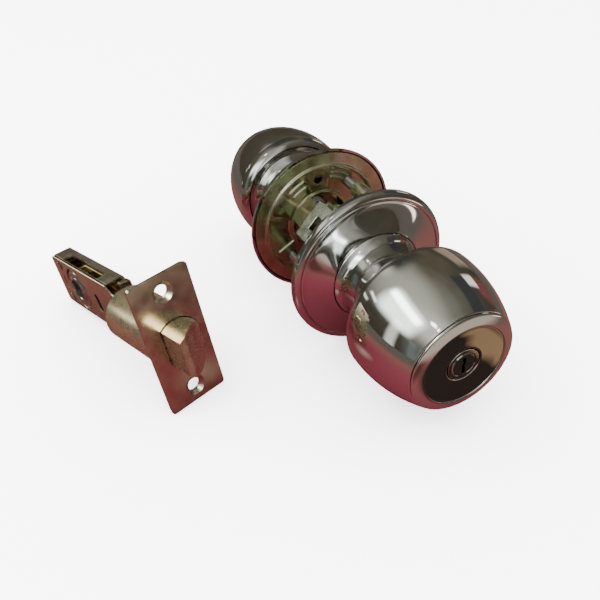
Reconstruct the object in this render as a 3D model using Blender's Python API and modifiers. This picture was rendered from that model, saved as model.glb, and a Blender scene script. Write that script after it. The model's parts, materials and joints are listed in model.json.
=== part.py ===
"""Round door knob lockset and its tubular spring latch, lying on a table.

The knob set lies on the rims of its two roses, with its spindle axis along X and the keyed knob
at +X. The latch stands beside it on its faceplate's short edge, with its tail end on the table.

Each side of the knob set is built in a frame of its own, whose X axis points outward from the
door, with X = 0 at the back edge of that side's rose. The latch is built in a frame whose X axis
points out of the faceplate, Y across it and Z along it.
"""

import bpy
import bmesh
from math import asin, atan2, cos, pi, radians, sin, sqrt
from mathutils import Matrix, Vector

MM = 0.001

# Clearances
GAP = 0.3 * MM
NECK_GAP = 0.45 * MM
MERGE = 0.00001

# Facets of a full turn
STEPS_ROSE = 32
STEPS_KNOB = 32
STEPS_NECK = 24
STEPS_SMALL = 20

# Door, roses and the liners behind them
DOOR_GAP = 40.5 * MM
ROSE_R = 34.0 * MM
ROSE_WALL = 1.0 * MM
ROSE_RIM_R = 2.6 * MM
ROSE_EDGE_H = 0.8 * MM
ROSE_BEAD_W = 0.8 * MM
ROSE_BEAD_DEPTH = 0.35 * MM
ROSE_FACE_H = 4.2 * MM
LINER_WALL = 0.9 * MM
LINER_FACE_H = 2.1 * MM
LINER_RING_R = 0.8 * ROSE_R
LINER_RING_PROUD = 0.8 * MM
LINER_FLANGE_H = 0.3 * MM
HUB_RING_R = 14.2 * MM
HUB_RING_BORE_R = 12.6 * MM
HUB_RING_H = 1.1 * MM
RIB_RADII = (0.49 * ROSE_R, 0.58 * ROSE_R)
RIB_W = 1.1 * MM
RIB_PROUD = 0.7 * MM
RIB_SPAN = radians(38)
CLOCK_HOLE_R = 2.1 * MM
CLOCK_HOLE_PITCH_R = 0.597 * ROSE_R
CLOCK_HOLE_ANGLE = radians(135)
POCKET_RADII = (0.447 * ROSE_R, 0.723 * ROSE_R)
POCKET_ANGLE = radians(36)
POCKET_SPAN = radians(40)
POCKET_DEPTH = 0.7 * MM

# Knobs: barrel, rounded back shoulder, rolled end cap
KNOB_R = 27.5 * MM
KNOB_WALL = 1.0 * MM
KNOB_BULGE_H = 36.0 * MM
KNOB_BARREL_R = 57.0 * MM
KNOB_LENGTH = 27.2 * MM
SHOULDER_R = 5.9 * MM
SHOULDER_SWEEP = radians(65)
SHOULDER_SETBACK = 1.5 * MM
CAP_ROLL = 1.6 * MM
CAP_ROLL_W = 3.0 * MM
CAP_DISH = 0.9 * MM
CAP_SKIRT = 2.3 * MM
NECK_BASE_R = 18.9 * MM
NECK_R = NECK_BASE_R - 2.1 * MM
NECK_WALL = 1.0 * MM
NECK_BASE_H = 5.0 * MM
NECK_BASE_T = 1.2 * MM

# Spindles, cylinder and turn button
SPINDLE_R = 7.0 * MM
SPINDLE_BORE_R = 5.2 * MM
SPINDLE_SPLIT = 1.0 * MM
SPINDLE_NOTCH_L = 7.5 * MM
SPINDLE_OUTER_H = 33.6 * MM
CYLINDER_R = 6.3 * MM
PLUG_R = 4.7 * MM
PIN_CHAMBER_W = 3.4 * MM
PIN_CHAMBER_R = 10.4 * MM
KEYWAY_W = 1.3 * MM
KEYWAY_H = 6.8 * MM
KEYWAY_DEPTH = 18.0 * MM
TAILPIECE_W = 5.0 * MM
TAILPIECE_T = 1.4 * MM
TAILPIECE_END = 2.0 * MM
BUTTON_SLEEVE_BORE_R = 5.5 * MM
BUTTON_GRIP_L = 9.2 * MM
BUTTON_GRIP_W = 3.2 * MM
BUTTON_GRIP_H = 4.4 * MM
BUTTON_BODY_L = 6.0 * MM
CATCH_R = 2.6 * MM
CATCH_PIN_R = 1.4 * MM
CATCH_H = 13.0 * MM

# Chassis between the roses, in a frame rolled about the spindle axis
CHASSIS_ROLL = radians(45)
BRACKET_Z = 14.0 * MM
BRACKET_W = 12.5 * MM
BRACKET_T = 1.2 * MM
BRACKET_REACH = 9.4 * MM
BRACKET_BEND_R = 1.7 * MM
BRACKET_HUB_R = 12.2 * MM
CASE_Y = 10.0 * MM
CASE_BACK_Z = 21.5 * MM
CASE_FRONT_Z = 12.0 * MM
CASE_WALL = 1.2 * MM
RETRACTOR_TRAVEL = 8.0 * MM
RETRACTOR_RAIL = 1.1 * MM
RETRACTOR_BACK = 2.2 * MM
RETRACTOR_FRONT = 1.7 * MM
HOOK_SLOT_W = 6.4 * MM
HOOK_SLOT_X = 4.0 * MM
SCREW_PITCH_R = 0.618 * ROSE_R
SCREW_R = 2.5 * MM
SCREW_HEAD_R = 3.5 * MM
SCREW_HEAD_T = 1.0 * MM
SCREW_REACH = 2.0 * MM
POST_WALL = 0.7 * MM
POST_END = -14.0 * MM
RETRACTOR_SPRING_R = 2.3 * MM
RETRACTOR_SPRING_WIRE_R = 0.3 * MM
RETRACTOR_SPRING_Y = 5.4 * MM

# Latch
PLATE_W = 25.4 * MM
PLATE_H = 57.15 * MM
PLATE_T = 1.2 * MM
BACKPLATE_INSET = 0.35 * MM
PLATE_SCREW_INSET = 6.82 * MM
PLATE_SCREW_R = 2.7 * MM
PLATE_SINK_R = 4.3 * MM
BOLT_R = 9.6 * MM
BOLT_FLAT_Y = 5.9 * MM
BOLT_OUT = 13.0 * MM
BOLT_IN = 5.0 * MM
BOLT_NOSE_W = 2.4 * MM
BOLT_ROOT_X = 0.6 * MM
BOLT_BEVEL_CROWN = 0.9 * MM
BOLT_TRAVEL = 12.5 * MM
TUBE_R = 11.8 * MM
TUBE_WALL = 1.0 * MM
TUBE_END_X = 37.0 * MM
GUIDE_X = 28.0 * MM
GUIDE_T = 1.5 * MM
CASE_HALF_H = 12.6 * MM
CASE_HALF_W = 4.4 * MM
CASE_TAIL_X = 98.4 * MM
CASE_SHEET = 1.0 * MM
CASE_TONGUE_X = 30.0 * MM
CASE_TONGUE_H = 9.3 * MM
CASE_MOUTH_X = 45.2 * MM
CASE_MOUTH_STEP = 1.2 * MM
CASE_TAB_X = (42.2 * MM, 39.6 * MM)
CASE_TAB_Y = 0.5 * MM
PLATE_CORNER_R = 0.9 * MM
WINDOW_X = (87.0 * MM, 56.0 * MM)
WINDOW_Y = (-3.0 * MM, 1.1 * MM)
HUB_X = 79.0 * MM
HUB_R = 6.2 * MM
HUB_FLANGE_R = 10.2 * MM
HUB_FLANGE_CREST = 0.4 * MM
HUB_BORE_R = 5.2 * MM
HUB_FLAT = 4.5 * MM
HUB_TURN = radians(75)
ARM_TIP_R = 1.0 * MM
ARM_Y = (-3.1 * MM, 0.2 * MM)
BAR_Y = (0.6 * MM, 2.0 * MM)
BAR_Z = (6.8 * MM, 11.2 * MM)
BAR_STEM_Z = 2.2 * MM
BAR_RISER_X = 40.0 * MM
BAR_RISER_W = 2.4 * MM
BAR_LUG_T = 1.3 * MM
BAR_LUG_PLAY = 0.45 * MM
BOLT_SPRING_R = 5.6 * MM
BOLT_SPRING_WIRE_R = 0.45 * MM
OBLONG_SLOT = (-60.0 * MM, -1.2 * MM, 3.0 * MM, 7.4 * MM)
TAIL_SLOT = (-93.2 * MM, 0.8 * MM, 1.8 * MM, 7.0 * MM)
RIVETS = ((-93.0 * MM, -8.6 * MM), (-93.0 * MM, 8.6 * MM), (-48.0 * MM, -8.6 * MM))
RIVET_R = 1.5 * MM
RIVET_HEAD_R = 2.4 * MM
RIVET_HEAD_T = 0.6 * MM

# Layout on the table
LATCH_FOOT = (23.3 * MM, -78.7 * MM)
LATCH_YAW = radians(18.94)

COLORS = {
    "polished_steel": ((0.72, 0.72, 0.72), 0.06, 1.0),
    "yellow_zinc": ((0.56, 0.50, 0.26), 0.28, 1.0),
    "brass": ((0.72, 0.55, 0.25), 0.25, 1.0),
    "spring_steel": ((0.42, 0.42, 0.44), 0.3, 1.0),
    "zinc_casting": ((0.50, 0.50, 0.50), 0.4, 1.0),
    "satin_latch": ((0.55, 0.49, 0.36), 0.25, 1.0),
}


def new_collection(name):
    collection = bpy.data.collections.new(name)
    bpy.context.scene.collection.children.link(collection)
    return collection


def new_empty(name, parent=None, location=(0, 0, 0), rotation=(0, 0, 0)):
    empty = bpy.data.objects.new(name, None)
    empty.empty_display_size = 0.01
    PARTS.objects.link(empty)
    empty.parent = parent
    empty.location = location
    empty.rotation_euler = rotation
    return empty


def finish_object(obj, parent, material):
    """Put an object among the parts, under its parent, with a material of its own."""
    PARTS.objects.link(obj)
    obj.parent = parent
    color, roughness, metallic = COLORS[material]
    mat = bpy.data.materials.new(obj.name)
    mat.use_nodes = True
    shader = mat.node_tree.nodes["Principled BSDF"]
    shader.inputs["Base Color"].default_value = (*color, 1)
    shader.inputs["Roughness"].default_value = roughness
    shader.inputs["Metallic"].default_value = metallic
    mat.diffuse_color = (*color, 1)
    obj.data.materials.clear()
    obj.data.materials.append(mat)
    return obj


def as_cutter(obj, parent):
    CUTTERS.objects.link(obj)
    obj.parent = parent
    obj.hide_render = True
    obj.display_type = "WIRE"
    return obj


def combine(obj, other, operation):
    modifier = obj.modifiers.new(other.name, "BOOLEAN")
    modifier.operation = operation
    modifier.solver = "EXACT"
    modifier.object = other


def cut(obj, *others):
    for other in others:
        combine(obj, other, "DIFFERENCE")


def unite(obj, *others):
    for other in others:
        combine(obj, other, "UNION")


def arc(center, radius, start, end, count):
    """Points on a circle, from one angle to another, both ends included."""
    return [
        (
            center[0] + radius * cos(start + (end - start) * i / count),
            center[1] + radius * sin(start + (end - start) * i / count),
        )
        for i in range(count + 1)
    ]


def circle(center, radius, count=STEPS_SMALL):
    return arc(center, radius, 0, 2 * pi, int(count))[:-1]


def stadium(center, width, length, count=6):
    """Outline of an upright slot with round ends."""
    r = width / 2
    half = length / 2 - r
    top = arc((center[0], center[1] + half), r, 0, pi, count)
    bottom = arc((center[0], center[1] - half), r, pi, 2 * pi, count)
    return top + bottom


def sector(inner_r, outer_r, middle, span, count=6):
    """Outline of a piece of a ring."""
    outer = arc((0, 0), outer_r, middle - span / 2, middle + span / 2, count)
    inner = arc((0, 0), inner_r, middle + span / 2, middle - span / 2, count)
    return outer + inner


def rounded_rectangle(half_w, half_h, radius):
    """Outline of a rectangle about the origin, with round corners."""
    corners = ((1, 1), (-1, 1), (-1, -1), (1, -1))
    outline = []
    for i, (u, v) in enumerate(corners):
        center = (u * (half_w - radius), v * (half_h - radius))
        outline += arc(center, radius, i * pi / 2, (i + 1) * pi / 2, 2)
    return outline


def signed_area(points):
    pairs = zip(points, points[1:] + points[:1])
    return sum(a[0] * b[1] - b[0] * a[1] for a, b in pairs) / 2


def offset(points, distance):
    """Open outline moved sideways by a distance, to the left of its direction."""
    moved = []
    for i, p in enumerate(points):
        before = Vector(points[max(i - 1, 0)])
        after = Vector(points[min(i + 1, len(points) - 1)])
        along_in = (Vector(p) - before).normalized() if i else (after - Vector(p)).normalized()
        along_out = (after - Vector(p)).normalized() if i < len(points) - 1 else along_in
        normal_in = Vector((-along_in.y, along_in.x))
        normal_out = Vector((-along_out.y, along_out.x))
        miter = (normal_in + normal_out).normalized()
        moved.append(tuple(Vector(p) + miter * distance / miter.dot(normal_in)))
    return moved


def turned_mesh_object(name, profile, steps, closed=True):
    """Object turned about X from (height, radius) points, with a Screw modifier."""
    if signed_area(profile) < 0:
        profile = profile[::-1]
    mesh = bpy.data.meshes.new(name)
    count = len(profile)
    edges = [(i, i + 1) for i in range(count - 1)]
    if closed:
        edges.append((count - 1, 0))
    mesh.from_pydata([(h, r, 0) for h, r in profile], edges, [])
    obj = bpy.data.objects.new(name, mesh)
    screw = obj.modifiers.new("turn", "SCREW")
    screw.axis = "X"
    screw.steps = int(steps)
    screw.render_steps = int(steps)
    screw.use_merge_vertices = True
    screw.merge_threshold = MERGE
    return obj


def turned(name, profile, steps, parent, material, closed=True):
    obj = turned_mesh_object(name, profile, steps, closed)
    return finish_object(obj, parent, material)


def turned_cutter(name, profile, steps, parent, closed=True):
    return as_cutter(turned_mesh_object(name, profile, steps, closed), parent)


def rod_profile(x0, x1, radius):
    """Profile of a plain solid rod, with its two ends on the axis."""
    return [(x1, 0), (x1, radius), (x0, radius), (x0, 0)]


def tube_profile(x0, x1, outer, inner):
    return [(x1, inner), (x1, outer), (x0, outer), (x0, inner)]


def box_object(name, low, high):
    bm = bmesh.new()
    bmesh.ops.create_cube(bm, size=1)
    size = Vector(high) - Vector(low)
    center = (Vector(high) + Vector(low)) / 2
    bmesh.ops.transform(bm, matrix=Matrix.Translation(center) @ Matrix.Diagonal((*size, 1)), verts=bm.verts)
    mesh = bpy.data.meshes.new(name)
    bm.to_mesh(mesh)
    bm.free()
    return bpy.data.objects.new(name, mesh)


def box(name, low, high, parent, material):
    return finish_object(box_object(name, low, high), parent, material)


def box_cutter(name, low, high, parent):
    return as_cutter(box_object(name, low, high), parent)


# How a flat outline's (u, v) plane and its thickness direction lie in the piece's frame
PLANE_YZ = Matrix(((0, 0, 1, 0), (1, 0, 0, 0), (0, 1, 0, 0), (0, 0, 0, 1)))
PLANE_XZ = Matrix(((1, 0, 0, 0), (0, 0, -1, 0), (0, 1, 0, 0), (0, 0, 0, 1)))
PLANE_XY = Matrix.Identity(4)


def flat_object(name, loops, start, end, plane):
    """Flat piece: an outline and its holes as a filled 2D curve, extruded and made a mesh.

    start and end are where the sheet's two faces lie along the plane's thickness direction, which
    is +X for PLANE_YZ, -Y for PLANE_XZ and +Z for PLANE_XY.
    """
    curve = bpy.data.curves.new(name, "CURVE")
    curve.dimensions = "2D"
    curve.fill_mode = "BOTH"
    curve.extrude = abs(end - start) / 2
    for loop in loops:
        spline = curve.splines.new("POLY")
        spline.points.add(len(loop) - 1)
        for point, (u, v) in zip(spline.points, loop):
            point.co = (u, v, 0, 1)
        spline.use_cyclic_u = True
    source = bpy.data.objects.new(name + "_outline", curve)
    bpy.context.scene.collection.objects.link(source)
    graph = bpy.context.evaluated_depsgraph_get()
    mesh = bpy.data.meshes.new_from_object(source.evaluated_get(graph))
    bpy.data.objects.remove(source)
    bm = bmesh.new()
    bm.from_mesh(mesh)
    bmesh.ops.remove_doubles(bm, verts=bm.verts, dist=MERGE)
    bmesh.ops.translate(bm, vec=(0, 0, (start + end) / 2), verts=bm.verts)
    bmesh.ops.transform(bm, matrix=plane, verts=bm.verts)
    bmesh.ops.recalc_face_normals(bm, faces=bm.faces)
    bm.to_mesh(mesh)
    bm.free()
    mesh.name = name
    return bpy.data.objects.new(name, mesh)


def flat(name, loops, start, end, plane, parent, material):
    return finish_object(flat_object(name, loops, start, end, plane), parent, material)


def flat_cutter(name, loops, start, end, plane, parent):
    return as_cutter(flat_object(name, loops, start, end, plane), parent)


def coil(name, radius, wire_r, start, end, turns, parent, material):
    """Compression spring between two points, as a wire with filled ends."""
    start = Vector(start)
    end = Vector(end)
    axis = (end - start).normalized()
    side = axis.orthogonal().normalized()
    other = axis.cross(side)
    count = int(turns * 10)
    curve = bpy.data.curves.new(name, "CURVE")
    curve.dimensions = "3D"
    curve.bevel_depth = wire_r
    curve.bevel_resolution = 0
    curve.use_fill_caps = True
    spline = curve.splines.new("POLY")
    spline.points.add(count)
    for i, point in enumerate(spline.points):
        angle = 2 * pi * turns * i / count
        around = side * cos(angle) + other * sin(angle)
        travel = start.lerp(end, i / count)
        point.co = (*(travel + around * radius), 1)
    obj = bpy.data.objects.new(name, curve)
    return finish_object(obj, parent, material)


def rose_profile():
    """Outer face of a rose: rolled rim, fine bead line, then a face that sweeps up to its opening."""
    rim_center = (ROSE_EDGE_H, ROSE_R - ROSE_RIM_R)
    rim = [(0, ROSE_R)] + [(h, r) for h, r in arc(rim_center, ROSE_RIM_R, pi / 2, 0, 3)]
    bead_r = rim_center[1]
    rim_h = ROSE_EDGE_H + ROSE_RIM_R
    bead = [
        (rim_h - ROSE_BEAD_DEPTH, bead_r - ROSE_BEAD_W / 2),
        (rim_h, bead_r - ROSE_BEAD_W),
    ]
    opening_r = NECK_BASE_R + NECK_GAP
    face_r = bead[-1][1]
    count = 5
    face = [
        (
            rim_h + ROSE_FACE_H * (i / count) ** 1.25,
            face_r + (opening_r - face_r) * i / count,
        )
        for i in range(1, count + 1)
    ]
    return rim + bead + face


def rose(side, frame):
    outer = rose_profile()
    lining = outer[:4] + [outer[6], outer[8], outer[10], outer[11]]
    inner = offset(lining, -ROSE_WALL)
    inner[0] = (0, inner[0][1])
    inner[-1] = (outer[-1][0] - ROSE_WALL, outer[-1][1])
    return turned(side + "_rose", outer + inner[::-1], STEPS_ROSE, frame, "polished_steel")


def liner(side, frame, screw_hole_r):
    """Stamped liner: plate with a hub ring, an upstanding ring that centres it in the door's bore,
    a flange under the rose's rim, and the ribs, pockets and holes stamped in its plate."""
    back = LINER_FACE_H + LINER_WALL
    flange_r = ROSE_R - ROSE_WALL - 2 * GAP
    ring_in = LINER_RING_R - LINER_WALL
    profile = [
        (HUB_RING_H, HUB_RING_BORE_R),
        (HUB_RING_H, HUB_RING_R),
        (LINER_FACE_H, HUB_RING_R),
        (LINER_FACE_H, ring_in),
        (-LINER_RING_PROUD, ring_in),
        (-LINER_RING_PROUD, LINER_RING_R),
        (LINER_FLANGE_H, LINER_RING_R),
        (LINER_FLANGE_H, flange_r),
        (LINER_FLANGE_H + LINER_WALL, flange_r),
        (LINER_FLANGE_H + LINER_WALL, LINER_RING_R),
        (back, LINER_RING_R),
        (back, HUB_RING_BORE_R),
    ]
    plate = turned(side + "_liner", profile, STEPS_ROSE, frame, "yellow_zinc")
    top = LINER_FACE_H - RIB_PROUD
    middle = LINER_FACE_H + LINER_WALL / 2
    for i, rib_r in enumerate(RIB_RADII):
        outline = sector(rib_r - RIB_W / 2, rib_r + RIB_W / 2, pi / 2, RIB_SPAN)
        unite(plate, flat_cutter(f"{side}_rib_{i}", [outline], top, middle, PLANE_YZ, frame))
    low_r, high_r = POCKET_RADII
    sheet = POCKET_DEPTH * 0.8
    for i, angle in enumerate((POCKET_ANGLE, POCKET_ANGLE + pi)):
        pan = sector(low_r - sheet, high_r + sheet, angle, POCKET_SPAN * 1.1)
        pocket = sector(low_r, high_r, angle, POCKET_SPAN)
        pan_h = back + POCKET_DEPTH
        floor_h = LINER_FACE_H + POCKET_DEPTH
        unite(plate, flat_cutter(f"{side}_pan_{i}", [pan], middle, pan_h, PLANE_YZ, frame))
        cut(plate, flat_cutter(f"{side}_pocket_{i}", [pocket], 0, floor_h, PLANE_YZ, frame))
    holes = [
        (0, SCREW_PITCH_R, screw_hole_r),
        (pi, SCREW_PITCH_R, screw_hole_r),
        (CLOCK_HOLE_ANGLE, CLOCK_HOLE_PITCH_R, CLOCK_HOLE_R),
        (CLOCK_HOLE_ANGLE + pi, CLOCK_HOLE_PITCH_R, CLOCK_HOLE_R),
    ]
    for i, (angle, pitch_r, r) in enumerate(holes):
        loop = circle((pitch_r * cos(angle), pitch_r * sin(angle)), r, 16)
        cut(plate, flat_cutter(f"{side}_hole_{i}", [loop], 0, 2 * back, PLANE_YZ, frame))
    return plate


def shoulder_points():
    center = (KNOB_BULGE_H - SHOULDER_SETBACK, KNOB_R - SHOULDER_R)
    count = 4
    sweep = [SHOULDER_SWEEP * (1 - i / count) for i in range(count)]
    return [(center[0] - SHOULDER_R * sin(a), center[1] + SHOULDER_R * cos(a)) for a in sweep]


def barrel_radius(h):
    rise = h - KNOB_BULGE_H
    return KNOB_R - KNOB_BARREL_R + sqrt(KNOB_BARREL_R ** 2 - rise ** 2)


def knob_end():
    """Where the barrel ends, at the crease round the end cap."""
    h = KNOB_BULGE_H + KNOB_LENGTH
    return h, barrel_radius(h)


def knob_shell(side, frame):
    count = 7
    top = knob_end()[0]
    heights = [KNOB_BULGE_H + (top - KNOB_BULGE_H) * i / count for i in range(count + 1)]
    outer = shoulder_points() + [(h, barrel_radius(h)) for h in heights]
    lining = outer[:1] + outer[2:-1:2] + outer[-1:]
    inner = offset(lining, -KNOB_WALL)
    inner[-1] = (top, barrel_radius(top) - KNOB_WALL)
    return turned(side + "_knob_shell", outer + inner[::-1], STEPS_KNOB, frame, "polished_steel")


def cap_face_h():
    """Height of the end cap's flat centre above the rose's back edge."""
    return knob_end()[0] + GAP + CAP_ROLL - CAP_DISH


def knob_cap(side, frame):
    """End cap: a rolled bead inside the crease, a shallow dished face, and a skirt in the shell."""
    crease_h, crease_r = knob_end()
    base = crease_h + GAP
    edge_r = crease_r - GAP
    top = base + CAP_ROLL
    bore = CYLINDER_R + GAP
    face = cap_face_h()
    outer = [
        (base, edge_r),
        (base + CAP_ROLL * 0.45, edge_r - CAP_ROLL_W * 0.12),
        (base + CAP_ROLL * 0.8, edge_r - CAP_ROLL_W * 0.45),
        (top, edge_r - CAP_ROLL_W),
        (top - CAP_DISH * 0.15, edge_r - CAP_ROLL_W * 1.5),
        (top - CAP_DISH * 0.55, edge_r - CAP_ROLL_W * 2.3),
        (face, bore + CAP_ROLL_W),
        (face, bore),
    ]
    skirt_r = crease_r - KNOB_WALL - GAP
    foot = crease_h - CAP_SKIRT
    inner = [
        (face - KNOB_WALL, bore),
        (face - KNOB_WALL, edge_r - CAP_ROLL_W * 2),
        (base, skirt_r - KNOB_WALL),
        (foot, skirt_r - KNOB_WALL),
        (foot, skirt_r),
        (base, skirt_r),
    ]
    return turned(side + "_knob_cap", outer + inner, STEPS_NECK, frame, "polished_steel")


def knob_neck(side, frame):
    """Neck from inside the rose to the knob's back, closed by a base disc round the spindle."""
    back_h, back_r = shoulder_points()[0]
    rim_r = back_r - KNOB_WALL * cos(SHOULDER_SWEEP) - GAP
    flange_h = back_h + KNOB_WALL * sin(SHOULDER_SWEEP) * 0.2
    opening_h = ROSE_EDGE_H + ROSE_RIM_R + ROSE_FACE_H
    run = back_h - opening_h
    drop = NECK_BASE_R - NECK_R
    outer = [
        (NECK_BASE_H, NECK_BASE_R),
        (opening_h + GAP, NECK_BASE_R),
        (opening_h + run * 0.08, NECK_BASE_R - drop * 0.5),
        (opening_h + run * 0.17, NECK_BASE_R - drop * 0.88),
        (opening_h + run * 0.28, NECK_R),
        (opening_h + run * 0.7, NECK_R),
        (opening_h + run * 0.86, NECK_R + drop * 0.4),
        (opening_h + run * 0.96, NECK_R + drop * 1.6),
        (flange_h - GAP, rim_r - drop),
        (flange_h, rim_r),
    ]
    inside = NECK_R - NECK_WALL
    inner = [
        (flange_h + NECK_WALL, rim_r),
        (flange_h + NECK_WALL, inside + drop),
        (opening_h + run * 0.86, inside),
        (opening_h + run * 0.28, inside),
        (NECK_BASE_H + NECK_BASE_T, inside),
        (NECK_BASE_H + NECK_BASE_T, SPINDLE_R + GAP),
        (NECK_BASE_H, SPINDLE_R + GAP),
    ]
    neck = turned(side + "_knob_neck", outer + inner, STEPS_NECK, frame, "polished_steel")
    reach = NECK_R + NECK_WALL
    hole = circle((CATCH_H, 0), CATCH_PIN_R + GAP, 12)
    cut(neck, flat_cutter(side + "_catch_hole", [hole], -reach, -inside / 2, PLANE_XY, frame))
    return neck


def knob_catch(side, frame):
    """Sprung pin that holds the knob on its spindle, its tip in the hole of the neck."""
    seat = SPINDLE_R + GAP
    shelf = NECK_R - NECK_WALL - GAP * 2
    tip = NECK_R - GAP / 2
    profile = [
        (seat, 0),
        (seat, CATCH_R),
        (shelf - CATCH_R / 2, CATCH_R),
        (shelf, CATCH_PIN_R),
        (tip, CATCH_PIN_R),
        (tip, 0),
    ]
    catch = turned(side + "_knob_catch", profile, 12, frame, "spring_steel", closed=False)
    catch.location = (CATCH_H, 0, 0)
    catch.rotation_euler = (0, pi / 2, 0)
    return catch


def spindle(side, frame):
    """Tube that turns with the knob and ends in a half-round driver inside the retractor."""
    inner_end = -(DOOR_GAP / 2 - SPINDLE_SPLIT)
    tube = turned(
        side + "_spindle",
        tube_profile(inner_end, SPINDLE_OUTER_H, SPINDLE_R, SPINDLE_BORE_R),
        STEPS_SMALL,
        frame,
        "zinc_casting",
    )
    notch = box_cutter(
        side + "_spindle_notch",
        (inner_end - SPINDLE_SPLIT, -SPINDLE_R * 2, -SPINDLE_R * 2),
        (inner_end + SPINDLE_NOTCH_L, SPINDLE_R * 2, -SPINDLE_R * 0.35),
        frame,
    )
    cut(tube, notch)
    return tube


def key_cylinder(frame):
    front = cap_face_h()
    back = SPINDLE_OUTER_H + GAP
    body = turned(
        "key_cylinder",
        tube_profile(back, front, CYLINDER_R, PLUG_R + GAP / 2),
        STEPS_SMALL,
        frame,
        "brass",
    )
    chamber = box_cutter(
        "pin_chamber",
        (back + SPINDLE_R * 0.3, -PIN_CHAMBER_W / 2, -PIN_CHAMBER_R),
        (front - CAP_SKIRT * 2, PIN_CHAMBER_W / 2, -(PLUG_R + CYLINDER_R) / 2),
        frame,
    )
    unite(body, chamber)
    return body


def key_plug(frame):
    front = cap_face_h()
    back = SPINDLE_OUTER_H + GAP
    rounding = GAP
    profile = [
        (front + rounding / 2, 0),
        (front + rounding / 2, PLUG_R - rounding),
        (front - rounding / 2, PLUG_R),
        (back, PLUG_R),
        (back, 0),
    ]
    plug = turned("key_plug", profile, STEPS_SMALL, frame, "brass", closed=False)
    keyway = box_cutter(
        "keyway",
        (front - KEYWAY_DEPTH, -KEYWAY_W / 2, -KEYWAY_H * 0.55),
        (front + CAP_DISH, KEYWAY_W / 2, KEYWAY_H * 0.45),
        frame,
    )
    cut(plug, keyway)
    return plug


def flat_bar(name, outer_h, inner_x, frame):
    """Flat drive bar along the axis, ending inside the chassis."""
    return box(
        name,
        (inner_x - DOOR_GAP / 2, -TAILPIECE_T / 2, -TAILPIECE_W / 2),
        (outer_h, TAILPIECE_T / 2, TAILPIECE_W / 2),
        frame,
        "spring_steel",
    )


def turn_button(frame):
    face = cap_face_h()
    radius = BUTTON_SLEEVE_BORE_R - GAP
    edge = GAP * 2
    profile = [
        (face + edge, 0),
        (face + edge, radius - edge),
        (face, radius),
        (face - BUTTON_BODY_L, radius),
        (face - BUTTON_BODY_L, 0),
    ]
    button = turned("turn_button", profile, STEPS_SMALL, frame, "polished_steel", closed=False)
    grip = stadium((0, 0), BUTTON_GRIP_W, BUTTON_GRIP_L)
    start = face - BUTTON_BODY_L / 2
    unite(button, flat_cutter("button_grip", [grip], start, face + BUTTON_GRIP_H, PLANE_YZ, frame))
    return button


def button_sleeve(frame):
    return turned(
        "button_sleeve",
        tube_profile(SPINDLE_OUTER_H + GAP, cap_face_h(), CYLINDER_R, BUTTON_SLEEVE_BORE_R),
        STEPS_SMALL,
        frame,
        "zinc_casting",
    )


def bracket(side, frame):
    """Hat-shaped bracket: two legs on the liner, a bridge towards the door's middle, a hub disc."""
    leg_end = HUB_RING_H - GAP
    bridge = -BRACKET_REACH
    center_x = bridge + BRACKET_BEND_R
    center_z = BRACKET_Z - BRACKET_BEND_R
    bend = arc((center_x, center_z), BRACKET_BEND_R, pi / 2, pi, 4)
    mirrored = [(x, -z) for x, z in reversed(bend)]
    inner_z = BRACKET_Z - BRACKET_T
    outline = [(leg_end, BRACKET_Z)] + bend + mirrored + [(leg_end, -BRACKET_Z)]
    outline += [
        (leg_end, -inner_z),
        (bridge + BRACKET_T, -inner_z),
        (bridge + BRACKET_T, inner_z),
        (leg_end, inner_z),
    ]
    half = BRACKET_W / 2
    hat = flat(side + "_bracket", [outline], -half, half, PLANE_XZ, frame, "yellow_zinc")
    disc = turned_cutter(
        side + "_hub_disc",
        rod_profile(bridge, bridge + BRACKET_T, BRACKET_HUB_R),
        STEPS_NECK,
        frame,
        closed=False,
    )
    bore = turned_cutter(
        side + "_hub_bore",
        rod_profile(bridge - BRACKET_T, bridge + 2 * BRACKET_T, SPINDLE_R + GAP),
        STEPS_SMALL,
        frame,
        closed=False,
    )
    unite(hat, disc)
    cut(hat, bore)
    return hat


def case_half_x():
    return DOOR_GAP / 2 - BRACKET_REACH - GAP


def retractor_case(frame):
    """Sheet box open towards the latch, with round holes for the two spindles."""
    half_x = case_half_x()
    case = box(
        "retractor_case",
        (-half_x, -CASE_Y, -CASE_BACK_Z),
        (half_x, CASE_Y, CASE_FRONT_Z),
        frame,
        "yellow_zinc",
    )
    inside = box_cutter(
        "case_inside",
        (CASE_WALL - half_x, CASE_WALL - CASE_Y, CASE_WALL - CASE_BACK_Z),
        (half_x - CASE_WALL, CASE_Y - CASE_WALL, CASE_FRONT_Z + CASE_WALL),
        frame,
    )
    bore = turned_cutter(
        "case_bore",
        rod_profile(-half_x - CASE_WALL, half_x + CASE_WALL, SPINDLE_R + GAP),
        STEPS_SMALL,
        frame,
        closed=False,
    )
    cut(case, inside, bore)
    return case


def retractor_back_z():
    return -(SPINDLE_R + GAP) - RETRACTOR_BACK


def retractor(frame):
    """Sliding frame round the spindle ends, with the hook slot for the latch's tail in its front."""
    half_x = case_half_x() - CASE_WALL - GAP
    half_y = CASE_Y - CASE_WALL - GAP
    window_z = SPINDLE_R + GAP
    front = window_z + RETRACTOR_TRAVEL
    slide = box(
        "retractor",
        (-half_x, -half_y, retractor_back_z()),
        (half_x, half_y, front + RETRACTOR_FRONT),
        frame,
        "zinc_casting",
    )
    window = box_cutter(
        "retractor_window",
        (-half_x * 2, RETRACTOR_RAIL - half_y, -window_z),
        (half_x * 2, half_y - RETRACTOR_RAIL, front),
        frame,
    )
    hook = box_cutter(
        "retractor_hook",
        (-HOOK_SLOT_X, -HOOK_SLOT_W / 2, front - GAP),
        (HOOK_SLOT_X, HOOK_SLOT_W / 2, front + RETRACTOR_FRONT * 2),
        frame,
    )
    cut(slide, window, hook)
    return slide


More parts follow.
